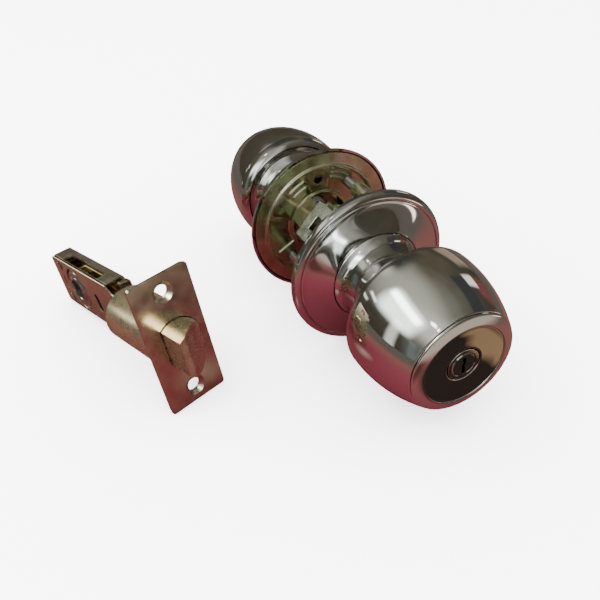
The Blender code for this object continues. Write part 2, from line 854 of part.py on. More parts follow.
def retractor_springs(frame):
    low = CASE_WALL - CASE_BACK_Z + RETRACTOR_SPRING_WIRE_R + GAP
    high = retractor_back_z() - RETRACTOR_SPRING_WIRE_R - GAP
    for name, y in (("left", -RETRACTOR_SPRING_Y), ("right", RETRACTOR_SPRING_Y)):
        coil(
            "retractor_spring_" + name,
            RETRACTOR_SPRING_R,
            RETRACTOR_SPRING_WIRE_R,
            (0, y, low),
            (0, y, high),
            4,
            frame,
            "spring_steel",
        )


def screw_and_post(name, y, far_frame, near_frame):
    """Machine screw from the far liner into a threaded post that stands on the near liner."""
    seat = LINER_FACE_H + LINER_WALL + GAP / 2
    tip = -(DOOR_GAP / 2 + SCREW_REACH)
    profile = [
        (seat + SCREW_HEAD_T, 0),
        (seat + SCREW_HEAD_T * 0.5, SCREW_HEAD_R),
        (seat, SCREW_HEAD_R),
        (seat, SCREW_R),
        (tip + SCREW_R / 2, SCREW_R),
        (tip, SCREW_R / 2),
        (tip, 0),
    ]
    screw = turned(
        "mounting_screw_" + name, profile, 16, far_frame, "spring_steel", closed=False
    )
    screw.location = (0, -y, 0)
    bore = SCREW_R + GAP
    post = turned(
        "screw_post_" + name,
        tube_profile(POST_END - DOOR_GAP / 2, LINER_FACE_H - GAP, bore + POST_WALL, bore),
        16,
        near_frame,
        "yellow_zinc",
    )
    post.location = (0, y, 0)


def side_frames(side, origin):
    """Frames of one side: for what turns with the knob, and for the chassis rolled about the axis."""
    sign = 1 if side == "near" else -1
    turn = 0 if side == "near" else pi
    knob = new_empty(side + "_side", origin, (sign * DOOR_GAP / 2, 0, 0), (0, 0, turn))
    chassis = new_empty(side + "_chassis", origin, (sign * DOOR_GAP / 2, 0, 0))
    roll = Matrix.Rotation(CHASSIS_ROLL, 4, "X") @ Matrix.Rotation(turn, 4, "Z")
    chassis.rotation_euler = roll.to_euler()
    return knob, chassis


def build_knob_set(origin):
    frames = {side: side_frames(side, origin) for side in ("near", "far")}
    for side, (knob, chassis) in frames.items():
        rose(side, knob)
        liner(side, chassis, SCREW_R + GAP)
        bracket(side, chassis)
        knob_shell(side, knob)
        knob_cap(side, knob)
        knob_neck(side, knob)
        knob_catch(side, knob)
        spindle(side, knob)
    near, near_chassis = frames["near"]
    far, far_chassis = frames["far"]
    key_cylinder(near)
    key_plug(near)
    flat_bar("tailpiece", SPINDLE_OUTER_H, TAILPIECE_END, near)
    turn_button(far)
    button_sleeve(far)
    flat_bar("button_stem", cap_face_h() - BUTTON_BODY_L - GAP, TAILPIECE_END, far)
    middle = new_empty("chassis_middle", origin, rotation=(CHASSIS_ROLL, 0, 0))
    retractor_case(middle)
    retractor(middle)
    retractor_springs(middle)
    screw_and_post("upper", SCREW_PITCH_R, far_chassis, near_chassis)
    screw_and_post("lower", -SCREW_PITCH_R, far_chassis, near_chassis)


def bolt_outline(clearance=0.0):
    """D-shaped section of the bolt head in the (Y, Z) plane, its flat towards -Y."""
    radius = BOLT_R + clearance
    flat_y = BOLT_FLAT_Y + clearance
    start = pi - asin(sqrt(radius ** 2 - flat_y ** 2) / radius)
    return arc((0, 0), radius, -start, start, 24)


def faceplates(frame):
    spread = PLATE_H / 2 - PLATE_SCREW_INSET
    screw_holes = [(0, spread), (0, -spread)]
    half_w = PLATE_W / 2
    half_h = PLATE_H / 2
    front = flat(
        "faceplate",
        [rounded_rectangle(half_w, half_h, PLATE_CORNER_R), bolt_outline(GAP)]
        + [circle(c, PLATE_SCREW_R) for c in screw_holes],
        -PLATE_T,
        0,
        PLANE_YZ,
        frame,
        "satin_latch",
    )
    for i, (y, z) in enumerate(screw_holes):
        sink = turned_cutter(
            f"faceplate_sink_{i}",
            [
                (GAP, 0),
                (GAP, PLATE_SINK_R + GAP),
                (-PLATE_T * 0.9, PLATE_SCREW_R - GAP / 2),
                (-PLATE_T * 0.9, 0),
            ],
            STEPS_SMALL,
            frame,
            closed=False,
        )
        sink.location = (0, y, z)
        cut(front, sink)
    inset = BACKPLATE_INSET
    back = -PLATE_T - GAP
    flat(
        "backplate",
        [
            rounded_rectangle(half_w - inset, half_h - inset, PLATE_CORNER_R),
            bolt_outline(GAP * 2),
        ]
        + [circle(c, PLATE_SCREW_R + GAP) for c in screw_holes],
        back - PLATE_T,
        back,
        PLANE_YZ,
        frame,
        "satin_latch",
    )
    return back - PLATE_T


def latch_bolt(frame):
    """D-shaped bolt head with a crowned bevel from a narrow nose down to the faceplate."""
    bolt = flat(
        "latch_bolt", [bolt_outline()], -BOLT_IN, BOLT_OUT, PLANE_YZ, frame, "satin_latch"
    )
    nose = Vector((BOLT_OUT, BOLT_NOSE_W - BOLT_FLAT_Y))
    root = Vector((BOLT_ROOT_X, BOLT_R))
    along = root - nose
    normal = Vector((-along.y, along.x)).normalized()
    if normal.x < 0:
        normal = -normal
    count = 6
    curve = []
    for i in range(count + 1):
        t = i / count
        point = nose + along * t + normal * BOLT_BEVEL_CROWN * 4 * t * (1 - t)
        curve.append(tuple(point))
    past = along.normalized() * BOLT_R * 0.2
    outline = curve + [tuple(root + past), (BOLT_OUT * 1.3, BOLT_R * 1.4)]
    outline += [(BOLT_OUT * 1.3, nose.y)]
    wedge = flat_cutter("bolt_wedge", [outline], -BOLT_R * 1.3, BOLT_R * 1.3, PLANE_XY, frame)
    cut(bolt, wedge)
    return bolt


def hub_arm_radius():
    """Reach of the hub's arm, so that its tip travels as far as the bolt over the hub's turn."""
    return BOLT_TRAVEL / (2 * sin(HUB_TURN / 2))


def latch_bar(frame):
    """Stamped bar from the bolt through the spring to the lug that the hub's arm pulls."""
    tip_x = -HUB_X + BOLT_TRAVEL / 2
    lug_front = tip_x - ARM_TIP_R - BAR_LUG_PLAY
    lug_back = lug_front - BAR_LUG_T
    front = -BOLT_IN - GAP
    riser_front = -BAR_RISER_X
    riser_back = riser_front - BAR_RISER_W
    outline = [
        (front, -BAR_STEM_Z),
        (front, BAR_STEM_Z),
        (riser_front, BAR_STEM_Z),
        (riser_front, BAR_Z[1]),
        (lug_back, BAR_Z[1]),
        (lug_back, BAR_Z[0]),
        (riser_back, BAR_Z[0]),
        (riser_back, -BAR_STEM_Z),
    ]
    bar = flat("latch_bar", [outline], -BAR_Y[1], -BAR_Y[0], PLANE_XZ, frame, "yellow_zinc")
    lug = box_cutter(
        "bar_lug",
        (lug_back, ARM_Y[0] + GAP, BAR_Z[0]),
        (lug_front, BAR_Y[1], BAR_Z[1]),
        frame,
    )
    unite(bar, lug)
    return bar


def latch_tube(frame, front):
    tube = turned(
        "latch_tube",
        tube_profile(-TUBE_END_X, front - GAP, TUBE_R, TUBE_R - TUBE_WALL),
        STEPS_NECK,
        frame,
        "satin_latch",
    )
    guide = turned(
        "bar_guide",
        rod_profile(-GUIDE_X - GUIDE_T, -GUIDE_X, TUBE_R - TUBE_WALL - GAP),
        STEPS_SMALL,
        frame,
        "yellow_zinc",
        closed=False,
    )
    slot = box_cutter(
        "guide_slot",
        (-GUIDE_X - GUIDE_T * 2, BAR_Y[0] - GAP, -BAR_STEM_Z - GAP),
        (GUIDE_T - GUIDE_X, BAR_Y[1] + GAP, BAR_STEM_Z + GAP),
        frame,
    )
    cut(guide, slot)
    middle_y = (BAR_Y[0] + BAR_Y[1]) / 2
    wire = BOLT_SPRING_WIRE_R
    coil(
        "bolt_spring",
        BOLT_SPRING_R,
        wire,
        (wire + GAP - GUIDE_X, middle_y, 0),
        (-BOLT_IN - wire - GAP, middle_y, 0),
        6,
        frame,
        "spring_steel",
    )
    return tube


def case_outline():
    """Side of the latch case: a long rectangle that steps down to a tongue in the tube."""
    tail = -CASE_TAIL_X
    mouth = -CASE_MOUTH_X
    shoulder = -TUBE_END_X - GAP
    step = CASE_HALF_H - CASE_MOUTH_STEP
    upper = [
        (-CASE_TONGUE_X, CASE_TONGUE_H),
        (shoulder, CASE_TONGUE_H),
        (mouth, step),
        (mouth, CASE_HALF_H),
        (tail, CASE_HALF_H),
    ]
    return upper + [(x, -z) for x, z in reversed(upper)]


def latch_case(frame):
    """Channel with a windowed top, and the flat cover on its open side, joined by rivets."""
    inner_w = CASE_HALF_W - CASE_SHEET
    cover_in = -CASE_HALF_W + CASE_SHEET
    rivet_holes = [circle(c, RIVET_R + GAP, 12) for c in RIVETS]
    channel = flat(
        "latch_case",
        [case_outline(), circle((-HUB_X, 0), HUB_R + GAP)] + rivet_holes,
        -CASE_HALF_W,
        -inner_w,
        PLANE_XZ,
        frame,
        "satin_latch",
    )
    rim_outer = [
        (-CASE_TAIL_X, -CASE_HALF_H),
        (-CASE_MOUTH_X, -CASE_HALF_H),
        (-CASE_MOUTH_X, CASE_SHEET - CASE_HALF_H),
        (CASE_SHEET - CASE_TAIL_X, CASE_SHEET - CASE_HALF_H),
        (CASE_SHEET - CASE_TAIL_X, CASE_HALF_H - CASE_SHEET),
        (-CASE_MOUTH_X, CASE_HALF_H - CASE_SHEET),
        (-CASE_MOUTH_X, CASE_HALF_H),
        (-CASE_TAIL_X, CASE_HALF_H),
    ]
    rim = flat_cutter(
        "case_rim",
        [rim_outer],
        -(inner_w + CASE_SHEET / 2),
        -(cover_in + GAP),
        PLANE_XZ,
        frame,
    )
    window = box_cutter(
        "case_window",
        (-WINDOW_X[0], WINDOW_Y[0], CASE_HALF_H - CASE_SHEET * 2),
        (-WINDOW_X[1], WINDOW_Y[1], CASE_HALF_H + CASE_SHEET),
        frame,
    )
    tab_outline = [
        (CASE_HALF_W, CASE_TONGUE_H - CASE_SHEET),
        (CASE_HALF_W, CASE_HALF_H - CASE_SHEET / 2),
        (CASE_HALF_W - CASE_SHEET / 2, CASE_HALF_H),
        (CASE_TAB_Y, CASE_HALF_H),
        (CASE_TAB_Y, CASE_HALF_H - CASE_SHEET),
        (inner_w, CASE_HALF_H - CASE_SHEET),
        (inner_w, CASE_TONGUE_H - CASE_SHEET),
    ]
    tab = flat_cutter(
        "case_tab", [tab_outline], -CASE_TAB_X[0], -CASE_TAB_X[1], PLANE_YZ, frame
    )
    unite(channel, rim, tab)
    cut(channel, window)
    cover_loops = [
        case_outline(),
        circle((-HUB_X, 0), HUB_FLANGE_R + GAP, 24),
        stadium(*slot_args(OBLONG_SLOT)),
        stadium(*slot_args(TAIL_SLOT)),
    ]
    flat(
        "latch_case_cover",
        cover_loops + rivet_holes,
        -cover_in,
        CASE_HALF_W,
        PLANE_XZ,
        frame,
        "satin_latch",
    )
    for i, (x, z) in enumerate(RIVETS):
        rivet(f"case_rivet_{i + 1}", x, z, frame)


def slot_args(slot):
    x, z, width, length = slot
    return (x, z), width, length


def rivet(name, x, z, frame):
    inside = CASE_HALF_W + GAP
    outside = inside + RIVET_HEAD_T
    profile = [
        (outside, 0),
        (outside, RIVET_HEAD_R * 0.6),
        (inside, RIVET_HEAD_R),
        (inside, RIVET_R),
        (-inside, RIVET_R),
        (-inside, RIVET_HEAD_R),
        (-outside, RIVET_HEAD_R * 0.6),
        (-outside, 0),
    ]
    pin = turned(name, profile, 12, frame, "spring_steel", closed=False)
    pin.location = (x, 0, z)
    pin.rotation_euler = (0, 0, pi / 2)


def hub_bore_outline():
    """Round bore with four flats, to take a square drive."""
    corner = asin(HUB_FLAT / HUB_BORE_R)
    outline = []
    for quarter in range(4):
        middle = pi / 4 + quarter * pi / 2
        half_span = corner - pi / 4
        outline += arc((0, 0), HUB_BORE_R, middle - half_span, middle + half_span, 2)
    return outline


def cam_hub(frame):
    """Hub with a drive bore, a flange flush in the cover, and an arm that pulls the bar's lug."""
    axle = new_empty("cam_hub_axle", frame, (-HUB_X, 0, 0))
    outer = CASE_HALF_W + GAP
    flange_in = CASE_SHEET - CASE_HALF_W + GAP / 3
    profile = [
        (outer, 0),
        (outer, HUB_R),
        (outer - HUB_FLANGE_CREST, HUB_R + HUB_FLANGE_CREST),
        (outer + HUB_FLANGE_CREST, HUB_FLANGE_R - HUB_FLANGE_CREST * 2),
        (outer - GAP, HUB_FLANGE_R),
        (-flange_in, HUB_FLANGE_R),
        (-flange_in, HUB_R),
        (-outer, HUB_R),
        (-outer, 0),
    ]
    hub = turned("cam_hub", profile, 24, axle, "zinc_casting", closed=False)
    hub.rotation_euler = (0, 0, -pi / 2)
    reach = hub_arm_radius()
    tip = Vector((sin(HUB_TURN / 2), cos(HUB_TURN / 2))) * reach
    outline = [
        (tip.x - ARM_TIP_R, HUB_R * 0.4),
        (HUB_R * 0.6, 0),
        (HUB_R * 0.96, 0),
        (tip.x + ARM_TIP_R, HUB_R * 0.6),
    ]
    outline += arc(tip, ARM_TIP_R, 0, pi, 6)
    arm = flat_cutter("hub_arm", [outline], -ARM_Y[1], -ARM_Y[0], PLANE_XZ, axle)
    bore = flat_cutter("hub_bore", [hub_bore_outline()], -outer * 2, outer * 2, PLANE_XZ, axle)
    unite(hub, arm)
    cut(hub, bore)
    return hub


def latch_rest():
    """Tilt and height at which the faceplate's edge and the case's tail both touch the table."""
    foot = Vector((-PLATE_T, -PLATE_H / 2))
    tail = Vector((-CASE_TAIL_X, -CASE_HALF_H))
    tilt = atan2(tail.y - foot.y, foot.x - tail.x)
    height = -(foot.y * cos(tilt) + foot.x * sin(tilt))
    return tilt, height


def build_latch(origin):
    tilt, height = latch_rest()
    turn = Matrix.Rotation(LATCH_YAW, 4, "Z") @ Matrix.Rotation(-tilt, 4, "Y")
    lean = (turn @ Vector((0, 0, PLATE_H / 2))).xy
    spot = (LATCH_FOOT[0] + lean.x, LATCH_FOOT[1] + lean.y, height - ROSE_R)
    frame = new_empty("latch", origin, spot, turn.to_euler())
    plates_back = faceplates(frame)
    latch_bolt(frame)
    latch_bar(frame)
    latch_tube(frame, plates_back)
    latch_case(frame)
    cam_hub(frame)


def settle(origin):
    """Move the whole set so that it is centred over the origin, standing on Z = 0."""
    bpy.context.view_layer.update()
    graph = bpy.context.evaluated_depsgraph_get()
    corners = []
    for obj in PARTS.objects:
        if obj.type == "EMPTY":
            continue
        evaluated = obj.evaluated_get(graph)
        mesh = evaluated.to_mesh()
        corners += [obj.matrix_world @ v.co for v in mesh.vertices]
        evaluated.to_mesh_clear()
    low = [min(c[i] for c in corners) for i in range(3)]
    high = [max(c[i] for c in corners) for i in range(3)]
    origin.location.x -= (low[0] + high[0]) / 2
    origin.location.y -= (low[1] + high[1]) / 2
    origin.location.z -= low[2]
    bpy.context.view_layer.update()


for old in list(bpy.data.objects):
    bpy.data.objects.remove(old)
PARTS = new_collection("door_knob_lockset")
CUTTERS = new_collection("cutters")
ORIGIN = new_empty("lockset")
build_knob_set(ORIGIN)
build_latch(ORIGIN)
settle(ORIGIN)
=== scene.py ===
import itertools
import json
from math import asin, atan2, cos, pi, radians, sin, sqrt, tan

import bmesh
import bpy
import numpy as np
from mathutils import Matrix, Vector

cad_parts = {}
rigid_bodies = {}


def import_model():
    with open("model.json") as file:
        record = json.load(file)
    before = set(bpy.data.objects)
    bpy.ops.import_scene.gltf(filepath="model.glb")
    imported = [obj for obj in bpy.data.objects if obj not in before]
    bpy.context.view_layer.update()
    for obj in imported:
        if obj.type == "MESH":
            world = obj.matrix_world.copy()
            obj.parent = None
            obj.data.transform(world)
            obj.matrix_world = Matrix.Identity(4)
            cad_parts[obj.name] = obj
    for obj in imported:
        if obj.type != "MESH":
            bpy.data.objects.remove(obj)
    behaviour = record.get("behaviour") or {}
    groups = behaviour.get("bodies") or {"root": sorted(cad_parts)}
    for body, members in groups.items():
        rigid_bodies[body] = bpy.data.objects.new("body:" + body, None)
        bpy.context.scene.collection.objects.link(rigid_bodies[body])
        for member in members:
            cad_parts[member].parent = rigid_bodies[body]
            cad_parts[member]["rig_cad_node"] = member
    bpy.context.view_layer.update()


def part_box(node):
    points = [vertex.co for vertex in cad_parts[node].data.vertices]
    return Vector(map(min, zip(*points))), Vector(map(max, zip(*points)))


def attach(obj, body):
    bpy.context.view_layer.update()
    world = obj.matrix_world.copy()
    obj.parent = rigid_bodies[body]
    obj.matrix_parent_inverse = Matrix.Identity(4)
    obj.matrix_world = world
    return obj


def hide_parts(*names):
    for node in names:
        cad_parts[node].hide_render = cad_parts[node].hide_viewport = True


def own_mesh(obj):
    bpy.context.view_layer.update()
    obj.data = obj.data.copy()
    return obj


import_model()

SCENE = bpy.context.scene
moved = Matrix.Translation
MM = 0.001
# Points closer than these are one point: of an outline in mm, of a mesh in metres
SAME_POINT = 0.002
WELD = 0.000004

# Camera: the photograph's own view, found from the outlines of both halves. EYE is in mm.
LENS = 37.4776
SENSOR = 36
EYE = (201.551, -60.604, 185.017)
RIGHT = (0.42211926, 0.90358876, -0.07309364)
DOWN = (0.54709248, -0.31820849, -0.77423070)
FORWARD = (-0.72284518, 0.28682871, -0.62866855)


def linked(name, data):
    """New object in the scene that holds some data."""
    obj = bpy.data.objects.new(name, data)
    SCENE.collection.objects.link(obj)
    return obj


def add_camera():
    data = bpy.data.cameras.new("photo_camera")
    data.lens = LENS
    data.sensor_width = SENSOR
    data.clip_start = 0.01
    data.clip_end = 50
    camera = linked("photo_camera", data)
    columns = (RIGHT, [-c for c in DOWN], [-c for c in FORWARD], [c * MM for c in EYE])
    rows = [[column[i] for column in columns] for i in range(3)]
    camera.matrix_world = Matrix(rows + [[0, 0, 0, 1]])
    SCENE.camera = camera


def box_mm(node):
    """Lowest and highest corners of a CAD node, in mm."""
    low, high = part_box(node)
    return low / MM, high / MM


# Places in mm. In NEAR and FAR, x runs out of the door along the knobs' axis. The chassis is rolled
# about that axis. In LATCH, x runs out of the faceplate's middle and z along it.
NEAR_LOW, NEAR_HIGH = box_mm("near_rose")
FAR_HIGH = box_mm("far_rose")[1]
AXIS_Y = (NEAR_LOW.y + NEAR_HIGH.y) / 2
AXIS_Z = (NEAR_LOW.z + NEAR_HIGH.z) / 2
TURN_ROUND = Matrix.Rotation(pi, 4, "Z")
ROLL = Matrix.Rotation(radians(45), 4, "X")
NEAR = moved((NEAR_LOW.x, AXIS_Y, AXIS_Z))
FAR_SPOT = moved((FAR_HIGH.x, AXIS_Y, AXIS_Z))
FAR = FAR_SPOT @ TURN_ROUND
NEAR_CHASSIS = NEAR @ ROLL
FAR_CHASSIS = FAR_SPOT @ ROLL @ TURN_ROUND
MIDDLE = moved(((NEAR_LOW.x + FAR_HIGH.x) / 2, AXIS_Y, AXIS_Z)) @ ROLL
LATCH_SPOT = (20.6667, -38.9317, 28.3913)
HEADING = radians(18.94)
TILT = asin(0.162176)
LATCH = moved(LATCH_SPOT) @ Matrix.Rotation(HEADING, 4, "Z")
LATCH @= Matrix.Rotation(-TILT, 4, "Y")
HALF_GAP = (NEAR_LOW.x - FAR_HIGH.x) / 2

# Sizes that the CAD gives, in mm
ROSE_R = 34.0
KNOB_R = 27.5
BULGE_H = 36.0
BARREL_R = 57.0
END_H = 63.2
SHOULDER = (34.5, 21.6)
SHOULDER_R = 5.9
SHOULDER_TURN = radians(65)
WALL = 1.0
GAP = 0.3
SPINDLE_R = 7.0
PLUG_R = 4.7
OPENING_R = 19.35
SCREW_PITCH = 0.618 * ROSE_R
SCREW_HOLE_R = 2.8
PLATE_T = 1.2
BOLT_R = 9.6
BOLT_FLAT = 5.9
BOLT_THROW = 13.0
HUB_X = -79.0
CASE_TAIL = -100.0
CASE_MOUTH = -45.2
CASE_H = 12.6
CASE_W = 4.4
CASE_FAR = 5.5
CASE_T = 1.0
RIVET_SPOTS = ((-93, 8.6), (-93, -8.6), (-48, -8.6))
RIVET_HOLE_R = 1.75


def arc(center, radius, start, end, count):
    angles = [start + (end - start) * i / count for i in range(count + 1)]
    return [(center[0] + radius * cos(a), center[1] + radius * sin(a)) for a in angles]


def circle(center, radius, count=64):
    return arc(center, radius, 0, 2 * pi, count)[:-1]


def stadium(x, z, width, length, count=14):
    """Outline of an upright slot with round ends."""
    r = width / 2
    half = length / 2 - r
    return arc((x, z + half), r, 0, pi, count) + arc((x, z - half), r, pi, 2 * pi, count)


def blend(a, b, low, high, t):
    return a * ((high - t) / (high - low)) + b * ((t - low) / (high - low))


def spline(points, steps):
    """Smooth curve through the points (centripetal Catmull-Rom)."""
    p = [Vector(q) for q in points]
    p = [2 * p[0] - p[1]] + p + [2 * p[-1] - p[-2]]
    made = []
    for i in range(1, len(p) - 2):
        a, b, c, d = p[i - 1 : i + 3]
        t0, t1 = 0, max((b - a).length, 1e-6) ** 0.5
        t2 = t1 + max((c - b).length, 1e-6) ** 0.5
        t3 = t2 + max((d - c).length, 1e-6) ** 0.5
        for j in range(steps):
            t = t1 + (t2 - t1) * j / steps
            across = blend(b, c, t1, t2, t)
            start = blend(blend(a, b, t0, t1, t), across, t0, t2, t)
            end = blend(across, blend(c, d, t2, t3, t), t1, t3, t)
            made.append(tuple(blend(start, end, t1, t2, t)))
    return made + [tuple(p[-2])]


def fillet(points, radius, steps=5, closed=True):
    """Outline with its corners rounded. radius is one number, or one for each point."""
    count = len(points)
    radii = radius if isinstance(radius, (list, tuple)) else [radius] * count
    made = []
    for i, point in enumerate(points):
        p = Vector(point)
        a = Vector(points[i - 1]) - p
        b = Vector(points[(i + 1) % count]) - p
        is_end = not closed and i in (0, count - 1)
        if radii[i] <= 0 or is_end or a.angle(b) > pi - 0.02:
            made.append(tuple(p))
            continue
        angle = a.angle(b)
        reach = min(radii[i] / np.tan(angle / 2), a.length * 0.45, b.length * 0.45)
        r = reach * np.tan(angle / 2)
        middle = p + (a.normalized() + b.normalized()).normalized() * (r / sin(angle / 2))
        start = p + a.normalized() * reach - middle
        end = p + b.normalized() * reach - middle
        sweep = start.angle(end)
        if start.x * end.y - start.y * end.x < 0:
            sweep = -sweep
        first = atan2(start.y, start.x)
        made += arc(middle, r, first, first + sweep, steps)
    return made


def shifted(points, distance):
    """Open line moved sideways, to the left of its direction."""
    p = np.array(points, float)
    along = np.gradient(p, axis=0)
    along /= np.linalg.norm(along, axis=1)[:, None] + 1e-12
    normal = np.stack([-along[:, 1], along[:, 0]], 1)
    return [tuple(q) for q in p + normal * distance]


def to_object(name, verts, faces, place):
    """Mesh object from points in mm in the frame called place, with its faces turned outwards."""
    mesh = bpy.data.meshes.new(name)
    mesh.from_pydata([tuple(v) for v in verts], [], faces)
    mesh.transform(Matrix.Scale(MM, 4) @ place)
    bm = bmesh.new()
    bm.from_mesh(mesh)
    bmesh.ops.recalc_face_normals(bm, faces=bm.faces)
    bm.to_mesh(mesh)
    bm.free()
    return linked(name, mesh)


def lathe_data(loop, segments, closed=True):
    """Vertices and faces turned about X from (height, radius) points."""
    verts = []
    rings = []
    for h, r in loop:
        count = segments if r else 1
        rings.append([len(verts) + j % count for j in range(segments)])
        for j in range(count):
            angle = 2 * pi * j / segments
            verts.append((h, r * cos(angle), r * sin(angle)))
    faces = []
    for a, b in zip(rings, rings[1:] + rings[: int(closed)]):
        for j in range(segments):
            k = (j + 1) % segments
            # A ring on the axis is one point, and its faces are triangles
            faces.append(tuple(dict.fromkeys((a[j], a[k], b[k], b[j]))))
    return verts, faces


def lathe(name, loop, place, segments=96, closed=True):
    """Turned piece. A line that isn't closed starts and ends on the axis."""
    return to_object(name, *lathe_data(loop, segments, closed), place)


# Planes that outlines are drawn in. sheet() gives them depth along the third axis.
PLANE_YZ = Matrix(((0, 0, 1, 0), (1, 0, 0, 0), (0, 1, 0, 0), (0, 0, 0, 1)))
PLANE_XZ = Matrix(((1, 0, 0, 0), (0, 0, -1, 0), (0, 1, 0, 0), (0, 0, 0, 1)))
PLANE_XY = Matrix.Identity(4)


def curve_mesh(name, curve):
    source = linked(name + "_path", curve)
    graph = bpy.context.evaluated_depsgraph_get()
    mesh = bpy.data.meshes.new_from_object(source.evaluated_get(graph))
    bpy.data.objects.remove(source)
    return mesh


def sheet(name, loops, start, end, plane, place, edge):
    """Flat piece from an outline and its holes, with its two rims rounded."""
    curve = bpy.data.curves.new(name, "CURVE")
    curve.dimensions = "2D"
    curve.fill_mode = "BOTH"
    curve.extrude = abs(end - start) / 2 - edge
    curve.bevel_depth = edge
    curve.bevel_resolution = 2 if edge else 0
    curve.offset = -edge
    for loop in loops:
        path = curve.splines.new("POLY")
        path.points.add(len(loop) - 1)
        for point, (u, v) in zip(path.points, loop):
            point.co = (u, v, 0, 1)
        path.use_cyclic_u = True
    mesh = curve_mesh(name, curve)
    bm = bmesh.new()
    bm.from_mesh(mesh)
    bmesh.ops.remove_doubles(bm, verts=bm.verts, dist=SAME_POINT)
    bmesh.ops.translate(bm, vec=(0, 0, (start + end) / 2), verts=bm.verts)
    bmesh.ops.transform(bm, matrix=Matrix.Scale(MM, 4) @ place @ plane, verts=bm.verts)
    bmesh.ops.recalc_face_normals(bm, faces=bm.faces)
    bm.to_mesh(mesh)
    bm.free()
    return linked(name, mesh)


def block(name, low, high, place):
    verts = list(itertools.product(*zip(low, high)))
    faces = [(0, 1, 3, 2), (4, 6, 7, 5), (0, 4, 5, 1), (2, 3, 7, 6), (0, 2, 6, 4), (1, 5, 7, 3)]
    return to_object(name, verts, faces, place)


def combine(obj, kind, others):
    for other in others:
        step = obj.modifiers.new("step", "BOOLEAN")
        step.operation = kind
        step.object = other
        step.solver = "EXACT"
        graph = bpy.context.evaluated_depsgraph_get()
        mesh = bpy.data.meshes.new_from_object(obj.evaluated_get(graph))
        obj.modifiers.clear()
        obj.data = mesh
        bpy.data.objects.remove(other)


def cut(obj, *others):
    combine(obj, "DIFFERENCE", others)


def unite(obj, *others):
    combine(obj, "UNION", others)


def soften(obj, width, segments=2, angle=32):
    """Rounds every edge sharper than an angle in degrees. width is in mm."""
    bevel = obj.modifiers.new("edges", "BEVEL")
    bevel.width = width * MM
    bevel.segments = segments
    bevel.limit_method = "ANGLE"
    bevel.angle_limit = radians(angle)


def even_normals(obj):
    """Shades flat faces flat up to their rounded edges."""
    even = obj.modifiers.new("normals", "WEIGHTED_NORMAL")
    even.keep_sharp = True


def finish(obj, material, body="lockset", angle=33):
    """Shades obj smooth up to an angle, and lets it stand for the CAD node of its name."""
    node = obj.name.removesuffix("_fine")
    mesh = obj.data
    mesh.name = obj.name
    mesh.polygons.foreach_set("use_smooth", [True] * len(mesh.polygons))
    mesh.set_sharp_from_angle(angle=radians(angle))
    mesh.materials.clear()
    mesh.materials.append(material)
    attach(obj, body)
    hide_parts(node)
    return obj


# Materials: one builder for all the metals of this set
WEAR_SCALE = 220.0
GRIT_SCALE = 900.0
GRIT_DEPTH = 0.0002
WAVE_SCALE = 70.0


def fill(tree, node, values):
    """Gives a node's inputs their values. A socket is linked."""
    for key, value in values.items():
        if isinstance(value, bpy.types.NodeSocket):
            tree.links.new(value, node.inputs[key])
        else:
            node.inputs[key].default_value = value


def add_node(tree, kind, values, **settings):
    node = tree.nodes.new("ShaderNode" + kind)
    for key, value in settings.items():
        setattr(node, key, value)
    fill(tree, node, values)
    return node


def here(tree, space="Object"):
    return tree.nodes.new("ShaderNodeTexCoord").outputs[space]


def noise(tree, coords, scale, detail):
    values = {"Vector": coords, "Scale": scale, "Detail": detail}
    return add_node(tree, "TexNoise", values).outputs["Fac"]


def ramp(tree, factor, stops):
    node = add_node(tree, "ValToRGB", {"Fac": factor})
    elements = node.color_ramp.elements
    while len(elements) < len(stops):
        elements.new(0.5)
    for element, (position, color) in zip(elements, stops):
        element.position = position
        element.color = (*color, 1)
    return node.outputs["Color"]


def remap(tree, value, low, high, to_low, to_high):
    values = {"Value": value, "From Min": low, "From Max": high, "To Min": to_low, "To Max": to_high}
    return add_node(tree, "MapRange", values).outputs["Result"]


def mixed(tree, factor, a, b):
    """Colour a, or b where factor is 1. Each is a socket or a colour."""
    node = tree.nodes.new("ShaderNodeMix")
    node.data_type = "RGBA"
    sockets = {s.identifier: s for s in node.inputs}
    tree.links.new(factor, sockets["Factor_Float"])
    for key, value in (("A_Color", a), ("B_Color", b)):
        if isinstance(value, bpy.types.NodeSocket):
            tree.links.new(value, sockets[key])
        else:
            sockets[key].default_value = (*value, 1)
    return {s.identifier: s for s in node.outputs}["Result_Color"]


def metal(name, tones, rough, bump=0.04, patches=60.0, wave=0.0):
    """Metal with a range of roughness, whose colour wanders between tones.

    bump is the strength of its grit, patches the scale of its tones, wave its unevenness in metres.
    """
    material = bpy.data.materials.new(name)
    material.use_nodes = True
    tree = material.node_tree
    coords = here(tree)
    # Noise stays near its middle, so the tones share this part of its range
    first, spread = 0.32, 0.36
    steps = [(first + spread * i / (len(tones) - 1), tone) for i, tone in enumerate(tones)]
    color = ramp(tree, noise(tree, coords, patches, 4.0), steps)
    wear = remap(tree, noise(tree, coords, WEAR_SCALE, 5.0), 0.3, 0.7, *rough)
    grit = {"Strength": bump, "Distance": GRIT_DEPTH, "Height": noise(tree, coords, GRIT_SCALE, 4.0)}
    if wave:
        swell = {"Strength": 1.0, "Distance": wave, "Height": noise(tree, coords, WAVE_SCALE, 1.5)}
        grit["Normal"] = add_node(tree, "Bump", swell).outputs["Normal"]
    normal = add_node(tree, "Bump", grit).outputs["Normal"]
    surface = {"Metallic": 1.0, "Base Color": color, "Roughness": wear, "Normal": normal}
    fill(tree, tree.nodes["Principled BSDF"], surface)
    return material


